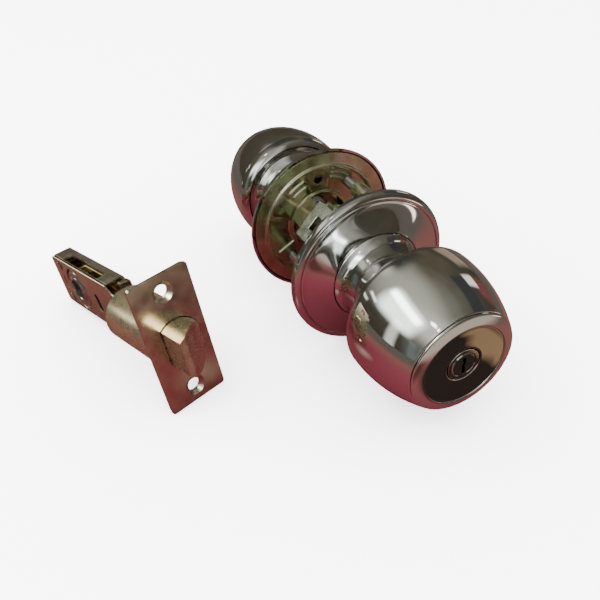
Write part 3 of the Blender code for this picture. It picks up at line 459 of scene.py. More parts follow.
STEEL = metal(
    "polished_steel",
    [(0.62, 0.62, 0.60), (0.67, 0.67, 0.66), (0.64, 0.65, 0.64)],
    (0.03, 0.07), bump=0.008, patches=18.0, wave=0.00008,
)
GOLD_ZINC = metal(
    "gold_zinc", [(0.62, 0.53, 0.18), (0.70, 0.64, 0.30)], (0.12, 0.24), bump=0.05, patches=80.0
)
ZINC = metal(
    "yellow_zinc",
    [
        (0.46, 0.47, 0.25), (0.58, 0.59, 0.38), (0.49, 0.545, 0.35), (0.59, 0.54, 0.43),
        (0.51, 0.485, 0.27),
    ],
    (0.14, 0.24), bump=0.03, patches=42.0,
)
SATIN = metal(
    "satin_latch",
    [(0.42, 0.365, 0.265), (0.47, 0.405, 0.295), (0.44, 0.385, 0.28)],
    (0.17, 0.26), bump=0.03, patches=14.0,
)
BRIGHT = metal(
    "bright_latch",
    [(0.40, 0.35, 0.225), (0.46, 0.405, 0.265), (0.43, 0.375, 0.245)],
    (0.24, 0.32), bump=0.03, patches=30.0,
)
CASTING = metal("zinc_casting", [(0.40, 0.42, 0.34), (0.52, 0.55, 0.46)], (0.20, 0.32), bump=0.08)
HUB_METAL = metal("hub_metal", [(0.32, 0.285, 0.26), (0.42, 0.38, 0.35)], (0.16, 0.28), bump=0.06)
SPRING = metal("spring_steel", [(0.34, 0.33, 0.31), (0.46, 0.45, 0.42)], (0.16, 0.28))


# The knob set
def make_rose(side, place):
    """Rolled rim, fine bead line, swept face and a turned-in lip round the opening."""
    rim_h, rim_r = 0.8, 2.6
    face_h, face_r, rise = 3.4, 30.6, 4.2
    lip_h, lip_r, lip_fold = 7.38, OPENING_R + 0.06, 0.22
    rim_center = (rim_h, ROSE_R - rim_r)
    rim = arc(rim_center, rim_r, pi / 2, 0.0, 14)
    bead = [(face_h, 31.4), (3.38, 31.25), (3.08, 31.0), (3.36, 30.72), (3.42, face_r)]
    face = []
    for i in range(1, 29):
        t = i / 28
        face.append((face_h + rise * t ** 1.25, face_r + (lip_r - face_r) * t))
    inner = shifted(arc(rim_center, rim_r, pi / 2, 0.0, 8)[:-1] + face[1:], -WALL)
    inner = [p for p in inner if p[1] > OPENING_R + 0.4 and p[0] > 0.05]
    turns = [radians(d) for d in (10, 35, 60, 90, 120, 150, 180)]
    lip = [(lip_h + lip_fold * cos(a), lip_r - lip_fold * sin(a)) for a in turns]
    outer = [(0, ROSE_R)] + rim + spline(bead, 4)[1:] + face[:-1] + lip
    loop = outer + inner[::-1] + [(0, ROSE_R - WALL)]
    obj = lathe(side + "_rose_fine", loop, place, segments=160)
    finish(obj, STEEL)


def barrel(h):
    """The knob's outer radius at a height over the door."""
    return KNOB_R - BARREL_R + sqrt(BARREL_R ** 2 - (h - BULGE_H) ** 2)


def shoulder_point(turn):
    return SHOULDER[0] - SHOULDER_R * sin(turn), SHOULDER[1] + SHOULDER_R * cos(turn)


def make_shell(side, place):
    roll = 0.45
    roll_h = END_H - roll
    shoulder = [shoulder_point(SHOULDER_TURN * (1 - i / 14)) for i in range(15)]
    wall = [(h, barrel(h)) for h in np.linspace(BULGE_H, roll_h, 40)]
    rolled = []
    for a in [radians(d) for d in (15, 35, 55, 75, 90)]:
        rolled.append((roll_h + roll * sin(a), barrel(roll_h) - roll + roll * cos(a) - 0.1 * sin(a)))
    inner = shifted(shoulder[::2] + wall[::4], -WALL) + [(END_H, barrel(END_H) - WALL)]
    loop = shoulder + wall + rolled + inner[::-1]
    obj = lathe(side + "_knob_shell_fine", loop, place, segments=160)
    finish(obj, STEEL, side + "_knob", angle=40)


# The end cap's rolled edge and its dished face, as height over the shell's end and distance in from
# the cap's edge
CAP_ROLL = [
    (0.30, 0), (0.58, 0.08), (0.84, 0.40), (1.12, 1.10), (1.42, 2.0), (1.72, 3.1), (1.86, 3.8),
    (1.84, 4.15), (1.66, 4.32),
]
CAP_CREASE = [(1.50, 4.36), (1.44, 4.5)]
CAP_DISH = [(1.44, 4.8), (1.34, 6.5), (1.16, 8.6)]


def make_cap(side, place):
    end_r = barrel(END_H)
    edge_r = end_r - GAP
    face_h = END_H + 1.0
    hole_r = 6.65
    roll, crease, dish = (
        [(END_H + h, edge_r - r) for h, r in points] for points in (CAP_ROLL, CAP_CREASE, CAP_DISH)
    )
    dish += [
        (face_h + 0.04, edge_r - 10.5), (face_h, 8.0), (face_h - 0.02, 7.0), (face_h - 0.2, hole_r),
    ]
    back = [
        (face_h - 1, hole_r), (face_h - 1, 14.5), (END_H + 0.3, end_r - 2.3),
        (END_H - 2.3, end_r - 2.3), (END_H - 2.3, end_r - 1.3), (END_H + 0.2, end_r - 1.3),
    ]
    loop = spline(roll, 6) + crease + spline(dish, 5) + back
    obj = lathe(side + "_knob_cap_fine", loop, place, segments=128)
    finish(obj, STEEL, side + "_knob")


def make_neck(side, place):
    back_h, back_r = shoulder_point(SHOULDER_TURN)
    rim_r = back_r - cos(SHOULDER_TURN) - GAP
    flange_h = back_h + sin(SHOULDER_TURN) * 0.2
    opening_h = 7.6
    run = back_h - opening_h
    base_h, base_r = 5.0, 18.9
    drop = 2.1
    waist = base_r - drop
    inside = waist - WALL
    shares = [
        (0.08, base_r - drop * 0.5), (0.17, base_r - drop * 0.88), (0.28, waist), (0.5, waist - 0.1),
        (0.7, waist), (0.86, waist + drop * 0.4), (0.96, waist + drop * 1.6),
    ]
    line = [(opening_h + 0.3, base_r)] + [(opening_h + run * share, r) for share, r in shares]
    line += [(flange_h - 0.3, rim_r - drop), (flange_h, rim_r)]
    outer = [(base_h, base_r - 0.25), (base_h + 0.25, base_r)] + spline(line, 7)
    inner = [
        (flange_h + WALL, rim_r), (flange_h + WALL, inside + drop), (opening_h + run * 0.86, inside),
        (opening_h + run * 0.28, inside), (base_h + 1.2, inside), (base_h + 1.2, SPINDLE_R + GAP),
        (base_h, SPINDLE_R + GAP),
    ]
    obj = lathe(side + "_knob_neck_fine", outer + inner, place, segments=144)
    catch_h, catch_r = 13.0, 1.7
    hole = circle((catch_h, 0), catch_r, 32)
    cut(obj, sheet("hole", [hole], -(waist + 1), -inside / 2, PLANE_XY, place, edge=0))
    finish(obj, STEEL, side + "_knob", angle=40)


# The chassis between the roses
def smooth_step(value, low, high):
    t = np.clip((value - low) / (high - low), 0, 1)
    return t * t * (3 - 2 * t)


def span_mask(angle, low, high, soft):
    """1 inside an angular span in degrees, with soft ends."""
    middle = (low + high) / 2
    away = np.abs((angle - middle + 180) % 360 - 180)
    return 1 - smooth_step(away, (high - low) / 2 - soft, (high - low) / 2 + soft)


def ring_mask(r, low, high, soft):
    return smooth_step(r, low - soft, low + soft) * (1 - smooth_step(r, high - soft, high + soft))


# What is stamped in a liner's plate: radius, first and last angle of each rib, and of each panel
# its two radii, two angles and how far it stands out
LINER_RIBS = [
    (18.9, 94, 118), (21.8, 94, 118), (20.6, 152, 177), (22.6, 152, 177), (24.5, 152, 177),
]
LINER_PANELS = [(15.9, 25.3, 121, 149, -0.45), (15.6, 25.0, 64, 89, -0.30), (15.4, 24.6, 18, 60, 0.70)]
RIB_W = 0.48
RIB_DEPTH = 0.62
PANEL_EDGE = 0.35
# The liner's front from its bore to its rim, with the rounding of each corner
LINER_FRONT = [
    (1.5, 12.6), (1.1, 12.6), (1.1, 14.1), (2.1, 14.35), (2.1, 26.25), (-0.8, 26.3),
    (-0.8, 27.25), (0.3, 27.55), (0.3, 32.4), (1.2, 32.4),
]
LINER_ROUNDING = [0, 0.2, 0.45, 0.4, 0.7, 0.46, 0.46, 0.7, 0.25, 0.25]
LINER_BACK = [(1.2, 27.9), (3.0, 27.2), (3.0, 12.6)]


def liner_relief(r, angle):
    """How far the stamped plate is moved along the axis, at a radius and an angle in degrees."""
    lift = np.zeros(np.broadcast(r, angle).shape)
    for half in (0, 180):
        for low_r, high_r, low, high, rise in LINER_PANELS:
            soft = np.degrees(PANEL_EDGE / low_r)
            across = ring_mask(r, low_r, high_r, PANEL_EDGE)
            lift += rise * across * span_mask(angle, low + half, high + half, soft)
        for rib_r, low, high in LINER_RIBS:
            across = np.exp(-(((r - rib_r) / RIB_W) ** 2))
            lift += -RIB_DEPTH * across * span_mask(angle, low + half, high + half, 1.8)
    return lift


def make_liner(side, place):
    """Stamped plate. Its flat part is cut into fine rings, so the stamping can move them."""
    front_h, back_h = LINER_FRONT[3][0], LINER_BACK[1][0]
    ring_w = 0.24
    same = 1e-4
    front = fillet(LINER_FRONT, LINER_ROUNDING, 6, closed=False)
    loop = []
    for a, b in zip(front, front[1:] + LINER_BACK[:1]):
        flat = abs(a[0] - front_h) + abs(b[0] - front_h) < same
        steps = max(int(abs(b[1] - a[1]) / ring_w), 1) if flat else 1
        loop += [tuple(np.array(a) + (np.array(b) - np.array(a)) * i / steps) for i in range(steps)]
    loop += LINER_BACK[:2] + [(back_h, r) for r in np.linspace(26.0, 14.8, 40)] + LINER_BACK[2:]
    verts, faces = lathe_data(loop, segments=432)
    co = np.array(verts)
    h = co[:, 0]
    r = np.hypot(co[:, 1], co[:, 2])
    angle = np.degrees(np.arctan2(co[:, 2], co[:, 1]))
    flat = ((np.abs(h - front_h) < same) | (np.abs(h - back_h) < same)) & (r < 26) & (r > 14.5)
    co[flat, 0] += liner_relief(r[flat], angle[flat])
    obj = to_object(side + "_liner_fine", co, faces, place)
    small_pitch, small_r = 20.3, 2.1
    holes = [(at, SCREW_PITCH, SCREW_HOLE_R) for at in (0, pi)]
    holes += [(radians(at), small_pitch, small_r) for at in (135, 315)]
    for at, pitch, radius in holes:
        hole = circle((pitch * cos(at), pitch * sin(at)), radius, 48)
        cut(obj, sheet("hole", [hole], -1, 6, PLANE_YZ, place, edge=0))
    finish(obj, ZINC, angle=50)


def make_bracket(side, place):
    """Hat of bent sheet with a hub disc, bored for the spindle."""
    end, reach, half_y, half_z, sheet_t, bend = 0.8, 9.4, 6.25, 14.0, 1.2, 1.7
    disc_r, disc_edge = 12.2, 0.5
    outer = [(end, half_z), (-reach, half_z), (-reach, -half_z), (end, -half_z)]
    inner_x, inner_z = sheet_t - reach, half_z - sheet_t
    inner = [(end, -inner_z), (inner_x, -inner_z), (inner_x, inner_z), (end, inner_z)]
    outline = fillet(outer + inner, [0.2, bend, bend, 0.2, 0.2, 0.6, 0.6, 0.2], 12)
    obj = sheet(side + "_bracket_fine", [outline], -half_y, half_y, PLANE_XZ, place, edge=0.22)
    disc = [
        (-reach, 0), (-reach, disc_r - disc_edge), (disc_edge - reach, disc_r), (inner_x, disc_r),
        (inner_x, 0),
    ]
    unite(obj, lathe("disc", disc, place, closed=False))
    bore = circle((0, 0), SPINDLE_R + GAP, 96)
    cut(obj, sheet("bore", [bore], -reach - 2, 2 - reach, PLANE_YZ, place, edge=0))
    finish(obj, ZINC, angle=35)
    even_normals(obj)


def make_screws():
    """Two screws with a cross recess from the far liner, and the posts that they enter."""
    seat = 3.15
    head = [(1.0, 0), (1.0, 1.6), (0.85, 2.6), (0.4, 3.3), (0.12, 3.5), (0, 3.4), (0, 2.5)]
    thread = [(0, 2.5), (-0.12, 2.5), (-0.4, 2.16), (-0.52, 2.16)]
    pitch = 0.8
    recess_w, recess_l, recess_low = 0.75, 2.6, 0.35
    tip = -(HALF_GAP + 2)
    post_end = -14 - HALF_GAP
    for name, y in (("upper", SCREW_PITCH), ("lower", -SCREW_PITCH)):
        place = FAR_CHASSIS @ moved((0, -y, 0))
        profile = [(seat + h, r) for h, r in head]
        start = seat - 1.0
        while start > tip + 1.3:
            profile += [(start + h, r) for h, r in thread]
            start -= pitch
        profile += [(tip + 1.1, 2.35), (tip, 1.3), (tip, 0)]
        obj = lathe(f"mounting_screw_{name}_fine", profile, place, segments=64, closed=False)
        for w, l in ((recess_w, recess_l), (recess_l, recess_w)):
            low, high = (seat + recess_low, -w / 2, -l / 2), (seat + 2.0, w / 2, l / 2)
            cut(obj, block("recess", low, high, place))
        finish(obj, SPRING)

        post = [
            (post_end + 0.3, 2.8), (post_end, 3.05), (post_end, 3.2), (post_end + 0.3, 3.5),
            (1.0, 3.5), (1.4, 3.5), (1.8, 3.3), (1.8, 2.8),
        ]
        near_place = NEAR_CHASSIS @ moved((0, y, 0))
        obj = lathe(f"screw_post_{name}_fine", post, near_place, segments=64)
        finish(obj, ZINC)


def wire(name, points, radius, place):
    """Round spring wire along points, with filled ends."""
    curve = bpy.data.curves.new(name, "CURVE")
    curve.dimensions = "3D"
    curve.bevel_depth = radius
    curve.bevel_resolution = 5
    curve.use_fill_caps = True
    path = curve.splines.new("POLY")
    path.points.add(len(points) - 1)
    for point, co in zip(path.points, points):
        point.co = (*co, 1)
    mesh = curve_mesh(name, curve)
    mesh.transform(Matrix.Scale(MM, 4) @ place)
    obj = linked(name, mesh)
    return finish(obj, SPRING, angle=50)


def coil_points(radius, start, end, turns):
    """Compression spring's line, with its end turns closed up."""
    dead_turns, per_turn = 0.8, 40
    start, end = Vector(start), Vector(end)
    axis = (end - start).normalized()
    side = axis.orthogonal().normalized()
    other = axis.cross(side)
    # The end turns rise only by the even part of the climb
    even = 0.65
    share = dead_turns / turns * (1 - even)
    points = []
    for i in range(turns * per_turn + 1):
        t = i / (turns * per_turn)
        angle = 2 * pi * turns * t
        rise = smooth_step(t, share, 1 - share) * (1 - even) + t * even
        at = start.lerp(end, float(rise))
        points.append(at + (side * cos(angle) + other * sin(angle)) * radius)
    return points


def let_shorten(obj):
    """Gives a spring a mesh of its own."""
    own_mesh(obj)


def make_springs():
    """Each spring's seat and tip are the faces that it stands between, a little off its wire."""
    seat, low, high, tip, travel = -20.3, -19.7, -10.1, -9.8, 8.0
    for side, y in (("left", -5.4), ("right", 5.4)):
        points = coil_points(2.3, (0, y, low), (0, y, high), 4)
        obj = wire(f"retractor_spring_{side}_fine", points, 0.3, MIDDLE)
        let_shorten(obj)
    seat, low, high, tip, travel = -28.0, -27.25, -5.75, -5.3, 12.5
    y = 1.3
    points = coil_points(5.6, (low, y, 0), (high, y, 0), 6)
    obj = wire("bolt_spring_fine", points, 0.45, LATCH)
    let_shorten(obj)


# The key's plug and the far knob's turn button
KEYWAY = [
    (0.65, 3.06), (-0.65, 3.06), (-0.65, 1.7), (-0.2, 1.35), (-0.2, 0.75), (-0.65, 0.4),
    (-0.65, -3.2), (-0.4, -3.74), (0.4, -3.74), (0.65, -3.2), (0.65, -1.3), (0.2, -1.0),
    (0.2, -0.35), (0.65, 0.0),
]
KEYWAY_DEPTH = 18


def make_key_plug():
    low, high = box_mm("key_plug")
    front, back = high.x - NEAR_LOW.x, low.x - NEAR_LOW.x
    edge = 0.3
    profile = [(front, 0), (front, PLUG_R - edge), (front - edge, PLUG_R), (back, PLUG_R), (back, 0)]
    obj = lathe("key_plug_fine", profile, NEAR, closed=False)
    slot = fillet(KEYWAY, 0.12, 3)
    cut(obj, sheet("keyway", [slot], front - KEYWAY_DEPTH, front + 1, PLANE_YZ, NEAR, edge=0))
    finish(obj, STEEL, "key")


def make_turn_button():
    low, high = box_mm("turn_button")
    tip, back = FAR_HIGH.x - low.x, FAR_HIGH.x - high.x
    length, radius, edge = 6.0, 5.2, 0.6
    face = back + length
    top = face + edge
    profile = [(top, 0), (top, radius - edge), (face, radius), (back, radius), (back, 0)]
    rounded = fillet(profile, 0.15, 3, closed=False)
    obj = lathe("turn_button_fine", rounded, FAR, closed=False)
    grip = stadium(0, 0, 3.2, 9.2)
    unite(obj, sheet("grip", [grip], face - length / 2, tip, PLANE_YZ, FAR, edge=0.55))
    finish(obj, STEEL, "button")


# The latch
def bolt_outline(clearance=0.0, count=64):
    """The bolt's D shape, or the hole for it."""
    radius = BOLT_R + clearance
    flat_y = BOLT_FLAT + clearance
    start = pi - asin(sqrt(radius ** 2 - flat_y ** 2) / radius)
    return arc((0, 0), radius, -start, start, count)


def make_plates():
    """Faceplate with countersunk holes, and the thin plate behind it."""
    half_w, half_h, hole_z = 12.7, 28.575, 21.755
    behind, smaller = 1.5, 0.35
    countersink = [(0.4, 0), (0.4, 4.75), (0.02, 4.32), (-1.05, 2.72), (-1.05, 0)]
    for name, front, w, h, clearance, hole_r in (
        ("faceplate", 0.0, half_w, half_h, GAP, 2.7),
        ("backplate", -behind, half_w - smaller, half_h - smaller, 2 * GAP, 2.7 + GAP),
    ):
        corners = fillet([(-w, -h), (w, -h), (w, h), (-w, h)], 1.3, 8)
        loops = [corners, bolt_outline(clearance)]
        loops += [circle((0, z), hole_r, 56) for z in (hole_z, -hole_z)]
        obj = sheet(name + "_fine", loops, front - PLATE_T, front, PLANE_YZ, LATCH, edge=0.14)
        if name == "faceplate":
            for z in (hole_z, -hole_z):
                place = LATCH @ moved((0, 0, z))
                cut(obj, lathe("countersink", countersink, place, closed=False))
        finish(obj, SATIN, angle=24)
        even_normals(obj)


def make_bolt():
    """Cut back from a root near the plate to a narrow nose, by a bevel with a slight crown."""
    outline = bolt_outline(count=96)
    obj = sheet("latch_bolt_fine", [outline], -5, BOLT_THROW, PLANE_YZ, LATCH, edge=0)
    nose_w, crown, steps = 2.4, 0.9, 32
    nose = Vector((BOLT_THROW, nose_w - BOLT_FLAT))
    root = Vector((0.6, BOLT_R))
    along = root - nose
    normal = Vector((along.y, -along.x)).normalized()
    bevel = []
    for i in range(steps + 1):
        t = i / steps
        bevel.append(tuple(nose + along * t + normal * crown * 4 * t * (1 - t)))
    past = root + along.normalized() * BOLT_R * 0.2
    wedge = bevel + [tuple(past), (17.0, 13.4), (17.0, nose.y)]
    cut(obj, sheet("wedge", [wedge], -12.5, 12.5, PLANE_XY, LATCH, edge=0))
    bm = bmesh.new()
    bm.from_mesh(obj.data)
    bmesh.ops.remove_doubles(bm, verts=bm.verts, dist=WELD)
    bmesh.ops.dissolve_limit(bm, angle_limit=radians(0.4), verts=bm.verts, edges=bm.edges)
    bm.to_mesh(obj.data)
    bm.free()
    finish(obj, BRIGHT, "bolt", angle=30)
    soften(obj, 0.28, segments=3, angle=35)
    even_normals(obj)


def make_tube():
    back, front, bore_r, radius = -37, -3.0, 10.8, 11.8
    loop = fillet([(back, bore_r), (front, bore_r), (front, radius), (back, radius)], 0.3, 4)
    obj = lathe("latch_tube_fine", loop, LATCH, segments=128)
    finish(obj, BRIGHT)


def make_bar_guide():
    disc = [(-29.5, 0), (-29.5, 10.2), (-29.2, 10.5), (-28.3, 10.5), (-28.0, 10.2), (-28.0, 0)]
    obj = lathe("bar_guide_fine", disc, LATCH, closed=False)
    cut(obj, block("slot", (-31, -2.3, -2.5), (-27, -0.3, 2.5), LATCH))
    finish(obj, ZINC)


def swept(name, section, path_at, place):
    """Closed section of (inset, y) points carried along the path that path_at gives for an inset."""
    paths = [path_at(inset) for inset, y in section]
    verts = [(x, y, z) for path, (inset, y) in zip(paths, section) for x, z in path]
    faces = []
    count = len(paths[0])
    rows = len(section)
    for i in range(rows):
        a = i * count
        b = (i + 1) % rows * count
        for j in range(count - 1):
            faces.append((a + j, a + j + 1, b + j + 1, b + j))
    faces.append([i * count for i in range(rows)])
    faces.append([i * count + count - 1 for i in reversed(range(rows))])
    return to_object(name, verts, faces, place)


def case_rim(inset):
    """Line of the case's bent rim in its XZ plane, from the mouth round the tail to the mouth."""
    h = CASE_H - inset
    x = CASE_TAIL + inset
    line = [(CASE_MOUTH, h), (x, h), (x, -h), (CASE_MOUTH, -h)]
    return fillet(line, max(1.9 - inset, 0.2), 8, closed=False)


def mirrored(points, rounding, steps):
    """Rounded outline from its upper half."""
    below = [(x, -z) for x, z in reversed(points)]
    return fillet(points + below, rounding + rounding[::-1], steps)


# The end of the case that holds the tube, as (x, z), and the holes for its rivets
COLLAR = [(-30, 9.3), (-37.3, 9.3)]
RIVET_HOLES = [circle(spot, RIVET_HOLE_R, 24) for spot in RIVET_SPOTS]


def make_case():
    """Rim bent from the far wall, with its window, holes and the curled tab by its mouth."""
    bend, inner_bend, lip_r, lip_y = 0.95, 0.5, 0.22, -2.88
    inside = CASE_FAR - CASE_T
    section = arc((bend, CASE_FAR - bend), bend, pi / 2, pi, 6)
    section += arc((lip_r, lip_y), lip_r, pi, 3 * pi / 2, 3)
    section += arc((CASE_T - lip_r, lip_y), lip_r, 3 * pi / 2, 2 * pi, 3)
    section += arc((CASE_T + inner_bend, inside - inner_bend), inner_bend, pi, pi / 2, 4)
    section += [(CASE_T + 0.9, inside), (CASE_T + 0.9, CASE_FAR)]
    obj = swept("latch_case_fine", section, case_rim, LATCH)

    # The wall is thinner than the rim's foot by this on each side, so no faces coincide
    shy = 0.004
    low = CASE_H - 1.4
    wall = COLLAR + [(CASE_MOUTH + 0.6, 11.4), (CASE_MOUTH - 1, low), (CASE_TAIL + 1.4, low)]
    wall = mirrored(wall, [0.6, 1.5, 1.5, 0, 0.8], 5)
    plate = sheet("wall", [wall], shy - CASE_FAR, -inside - shy, PLANE_XZ, LATCH, edge=0.2)
    tab = [
        (CASE_FAR, 8.3), (CASE_FAR, CASE_H), (0.5, CASE_H), (0.5, 11.6), (inside, 11.6), (inside, 8.3),
    ]
    tab = fillet(tab, [0.1, 1.2, 0.45, 0.35, 0.5, 0.1], 6)
    unite(obj, plate, sheet("tab", [tab], -42.2, -39.6, PLANE_YZ, LATCH, edge=0.2))

    window = [(-88.3, -3.0), (-54.6, -3.0), (-54.6, 1.6), (-88.3, 1.6)]
    window = fillet(window, [1.6, 0.9, 0.9, 1.6], 6)
    cut(obj, sheet("window", [window], 9, 14, PLANE_XY, LATCH, edge=0))
    for hole in [circle((HUB_X, 0), 6.5, 72)] + RIVET_HOLES:
        cut(obj, sheet("hole", [hole], -6, -2, PLANE_XZ, LATCH, edge=0))
    round_rims(obj, CASE_H, 0.3)
    finish(obj, SATIN, angle=40)


def make_cover():
    h = CASE_H - GAP
    edge = [(CASE_MOUTH + 4.2, 9.9), (CASE_MOUTH + 1.6, 11.3), (CASE_MOUTH, h), (CASE_TAIL, h)]
    outline = mirrored(COLLAR + edge, [0.6, 2.0, 2.0, 1.6, 2.0, 1.8], 6)
    slots = [stadium(-60.0, -1.2, 4.2, 9.4), stadium(-93.2, 0.8, 1.9, 7.0)]
    loops = [outline, circle((HUB_X, 0), 10.5, 96)] + slots + RIVET_HOLES
    obj = sheet("latch_case_cover_fine", loops, CASE_W - CASE_T, CASE_W, PLANE_XZ, LATCH, edge=0.42)
    finish(obj, SATIN, angle=24)
    even_normals(obj)


def round_rims(obj, height, width):
    """Rounds the rim of every hole in the flat face at a height over the latch's axis."""
    to_latch = (Matrix.Scale(MM, 4) @ LATCH).inverted()
    bm = bmesh.new()
    bm.from_mesh(obj.data)
    rims = []
    for edge in bm.edges:
        level = all(abs((to_latch @ v.co).z - height) < 0.01 for v in edge.verts)
        if level and edge.is_manifold and edge.calc_face_angle(0) > radians(50):
            rims.append(edge)
    bmesh.ops.bevel(
        bm, geom=rims, offset=width * MM, segments=3, profile=0.5, affect="EDGES", clamp_overlap=True
    )
    bm.to_mesh(obj.data)
    bm.free()


def make_rivets():
    """Rivets with a low dome on the cover and on the far wall."""
    near_h, far_h = 4.7, 4.7 + CASE_FAR - CASE_W
    rise, head_r, shank_r = 0.38, 2.3, 1.5
    dome = [(rise * sin(a), head_r * cos(a)) for a in [radians(d) for d in range(84, -1, -12)]]
    dome = [(rise, 0)] + dome
    profile = [(far_h + h, r) for h, r in dome] + [(far_h, shank_r), (-near_h, shank_r)]
    profile += [(-near_h - h, r) for h, r in dome[::-1]]
    for i, (x, z) in enumerate(RIVET_SPOTS, 1):
        place = LATCH @ moved((x, 0, z)) @ Matrix.Rotation(pi / 2, 4, "Z")
        obj = lathe(f"case_rivet_{i}_fine", profile, place, segments=48, closed=False)
        finish(obj, SATIN, angle=40)


def make_hub():
    """Drive hub: dished flange flush in the cover, bore with four flats, and its arm."""
    place = LATCH @ moved((HUB_X, 0, 0))
    turned_place = place @ Matrix.Rotation(-pi / 2, 4, "Z")
    top = 4.7
    dish = [
        (0, 6.1), (0.42, 6.5), (0.62, 7.0), (0.55, 7.7), (0.30, 8.3), (0.22, 8.55), (0.34, 8.8),
        (0.75, 9.2), (1.0, 9.8), (1.1, 10.2),
    ]
    back = -(CASE_FAR + GAP)
    profile = [(top - 0.1, 0), (top - 0.1, 4.9), (top + 0.25, 5.1), (top + 0.3, 5.5)]
    profile += spline([(top - h, r) for h, r in dish], 5)
    profile += [(3.4, 10.2), (3.3, 9.95), (3.3, 6.2), (back + 0.3, 6.2), (back, 5.9), (back, 0)]
    hub = lathe("cam_hub_fine", profile, turned_place, segments=128, closed=False)

    arm_turn, arm_l, arm_r = radians(37.5), 10.2667, 1.0
    tip = Vector((sin(arm_turn), cos(arm_turn))) * arm_l
    arm = [(tip.x - arm_r, 2.5), (3.7, 0), (5.95, 0), (tip.x + arm_r, 3.7)]
    arm += arc(tip, arm_r, 0, pi, 20)
    unite(hub, sheet("arm", [arm], -0.2, 3.1, PLANE_XZ, place, edge=0.15))

    flat, bore_r = 4.5, 5.2
    half_turn = asin(flat / bore_r) - pi / 4
    bore = []
    for middle in (pi / 4, 3 * pi / 4, 5 * pi / 4, 7 * pi / 4):
        bore += arc((0, 0), bore_r, middle - half_turn, middle + half_turn, 8)
    cut(hub, sheet("bore", [fillet(bore, 0.3, 3)], -9, 9, PLANE_XZ, place, edge=0))
    finish(hub, HUB_METAL, "hub", angle=35)


def cad_piece(node):
    """The object of a CAD node."""
    return next(o for o in bpy.data.objects if o.get("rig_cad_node") == node)


def dress(node, material):
    """Gives a CAD node that keeps its shape the right metal and softened edges."""
    obj = cad_piece(node)
    weld = obj.modifiers.new("weld", "WELD")
    weld.merge_threshold = WELD
    flat = obj.modifiers.new("flat", "DECIMATE")
    flat.decimate_type = "DISSOLVE"
    flat.angle_limit = radians(1.0)
    soften(obj, 0.2)
    even_normals(obj)
    for slot in obj.material_slots:
        slot.material = material


# The CAD nodes that show as they are
PLAIN_METALS = {
    "near_knob_catch": SPRING, "far_knob_catch": SPRING, "near_spindle": CASTING,
    "far_spindle": CASTING, "key_cylinder": STEEL, "button_sleeve": CASTING, "tailpiece": SPRING,
    "button_stem": SPRING, "retractor_case": ZINC, "retractor": CASTING, "latch_bar": GOLD_ZINC,
}


def vector_math(tree, kind, a, b):
    return add_node(tree, "VectorMath", {0: a, 1: b}, operation=kind).outputs["Value"]


def fade(tree, value, inner, outer):
    """1 where a value is near 0, falling smoothly to 0 further out."""
    size = add_node(tree, "Math", {0: value}, operation="ABSOLUTE")
    mask = remap(tree, size.outputs["Value"], inner, outer, 1.0, 0.0)
    mask.node.interpolation_type = "SMOOTHSTEP"
    return mask


def product(tree, a, b):
    return add_node(tree, "Math", {0: a, 1: b}, operation="MULTIPLY").outputs["Value"]


def compass(azimuth, elevation):
    """Direction from the set: azimuth 0 is +X and 90 is +Y, both angles in degrees."""
    a = radians(azimuth)
    e = radians(elevation)
    return Vector((cos(a) * cos(e), sin(a) * cos(e), sin(e)))


def panel(tree, where, azimuth, elevation, width, height, soft):
    """1 inside a soft-edged rectangle of directions. All its angles are in degrees."""
    ahead = compass(azimuth, elevation)
    right = Vector((0, 0, 1)).cross(ahead).normalized()
    masks = []
    for axis, angle in ((right, width), (ahead.cross(right), height)):
        inner = sin(radians(max(angle - soft, 0) / 2))
        outer = sin(radians((angle + soft) / 2))
        masks.append(fade(tree, vector_math(tree, "DOT_PRODUCT", where, axis), inner, outer))
    in_front = remap(tree, vector_math(tree, "DOT_PRODUCT", where, ahead), 0.0, 0.2, 0.0, 1.0)
    return product(tree, product(tree, *masks), in_front)


def show_mix(tree, factor, a, b, output="Material Output"):
    """Shows shader a, or b where factor is 1."""
    both = add_node(tree, "MixShader", {0: factor, 1: a, 2: b})
    fill(tree, tree.nodes[output], {"Surface": both.outputs["Shader"]})


def reflected(tree):
    """1 for what a glossy surface sees, 0 for all else."""
    return tree.nodes.new("ShaderNodeLightPath").outputs["Is Glossy Ray"]


# What polished metal sees of the table: its colour far out, then patches of it round the set, each
# with its middle, inner and outer radius in metres, and colour
TABLE_FAR = (0.019, 0.0165, 0.0140)
TABLE = [
    ((0.03, 0.0, 0.0), 0.14, 0.24, (0.044, 0.0170, 0.0150)),
    ((0.03, 0.0, 0.0), 0.055, 0.115, (0.050, 0.0100, 0.0135)),
    ((0.36, 0.10, 0.0), 0.175, 0.215, (0.085, 0.070, 0.060)),
    ((0.125, 0.058, 0.0), 0.024, 0.036, (0.005, 0.0035, 0.003)),
    # Painted highlight: this pale pink patch by the faceplate is glare on the table, painted into its
    # colour
    ((0.038, -0.020, 0.0), 0.002, 0.014, (0.085, 0.055, 0.050)),
    ((0.1155, 0.0785, 0.0), 0.0045, 0.0085, (0.052, 0.033, 0.018)),
    ((0.150, 0.004, 0.0), 0.018, 0.035, (0.016, 0.0065, 0.0055)),
    ((0.205, 0.255, 0.0), 0.034, 0.044, (0.44, 0.37, 0.32)),
]
FLOOR_HALF = 4.0
FLOOR_Z = -0.00005


def rectangle(name, half_w, half_h):
    """Flat object in the XY plane with a material of its own, and that material's nodes."""
    mesh = bpy.data.meshes.new(name)
    corners = [(-half_w, -half_h, 0), (half_w, -half_h, 0), (half_w, half_h, 0), (-half_w, half_h, 0)]
    mesh.from_pydata(corners, [], [(0, 1, 2, 3)])
    obj = linked(name, mesh)
    material = bpy.data.materials.new(name)
    material.use_nodes = True
    mesh.materials.append(material)
    return obj, material.node_tree


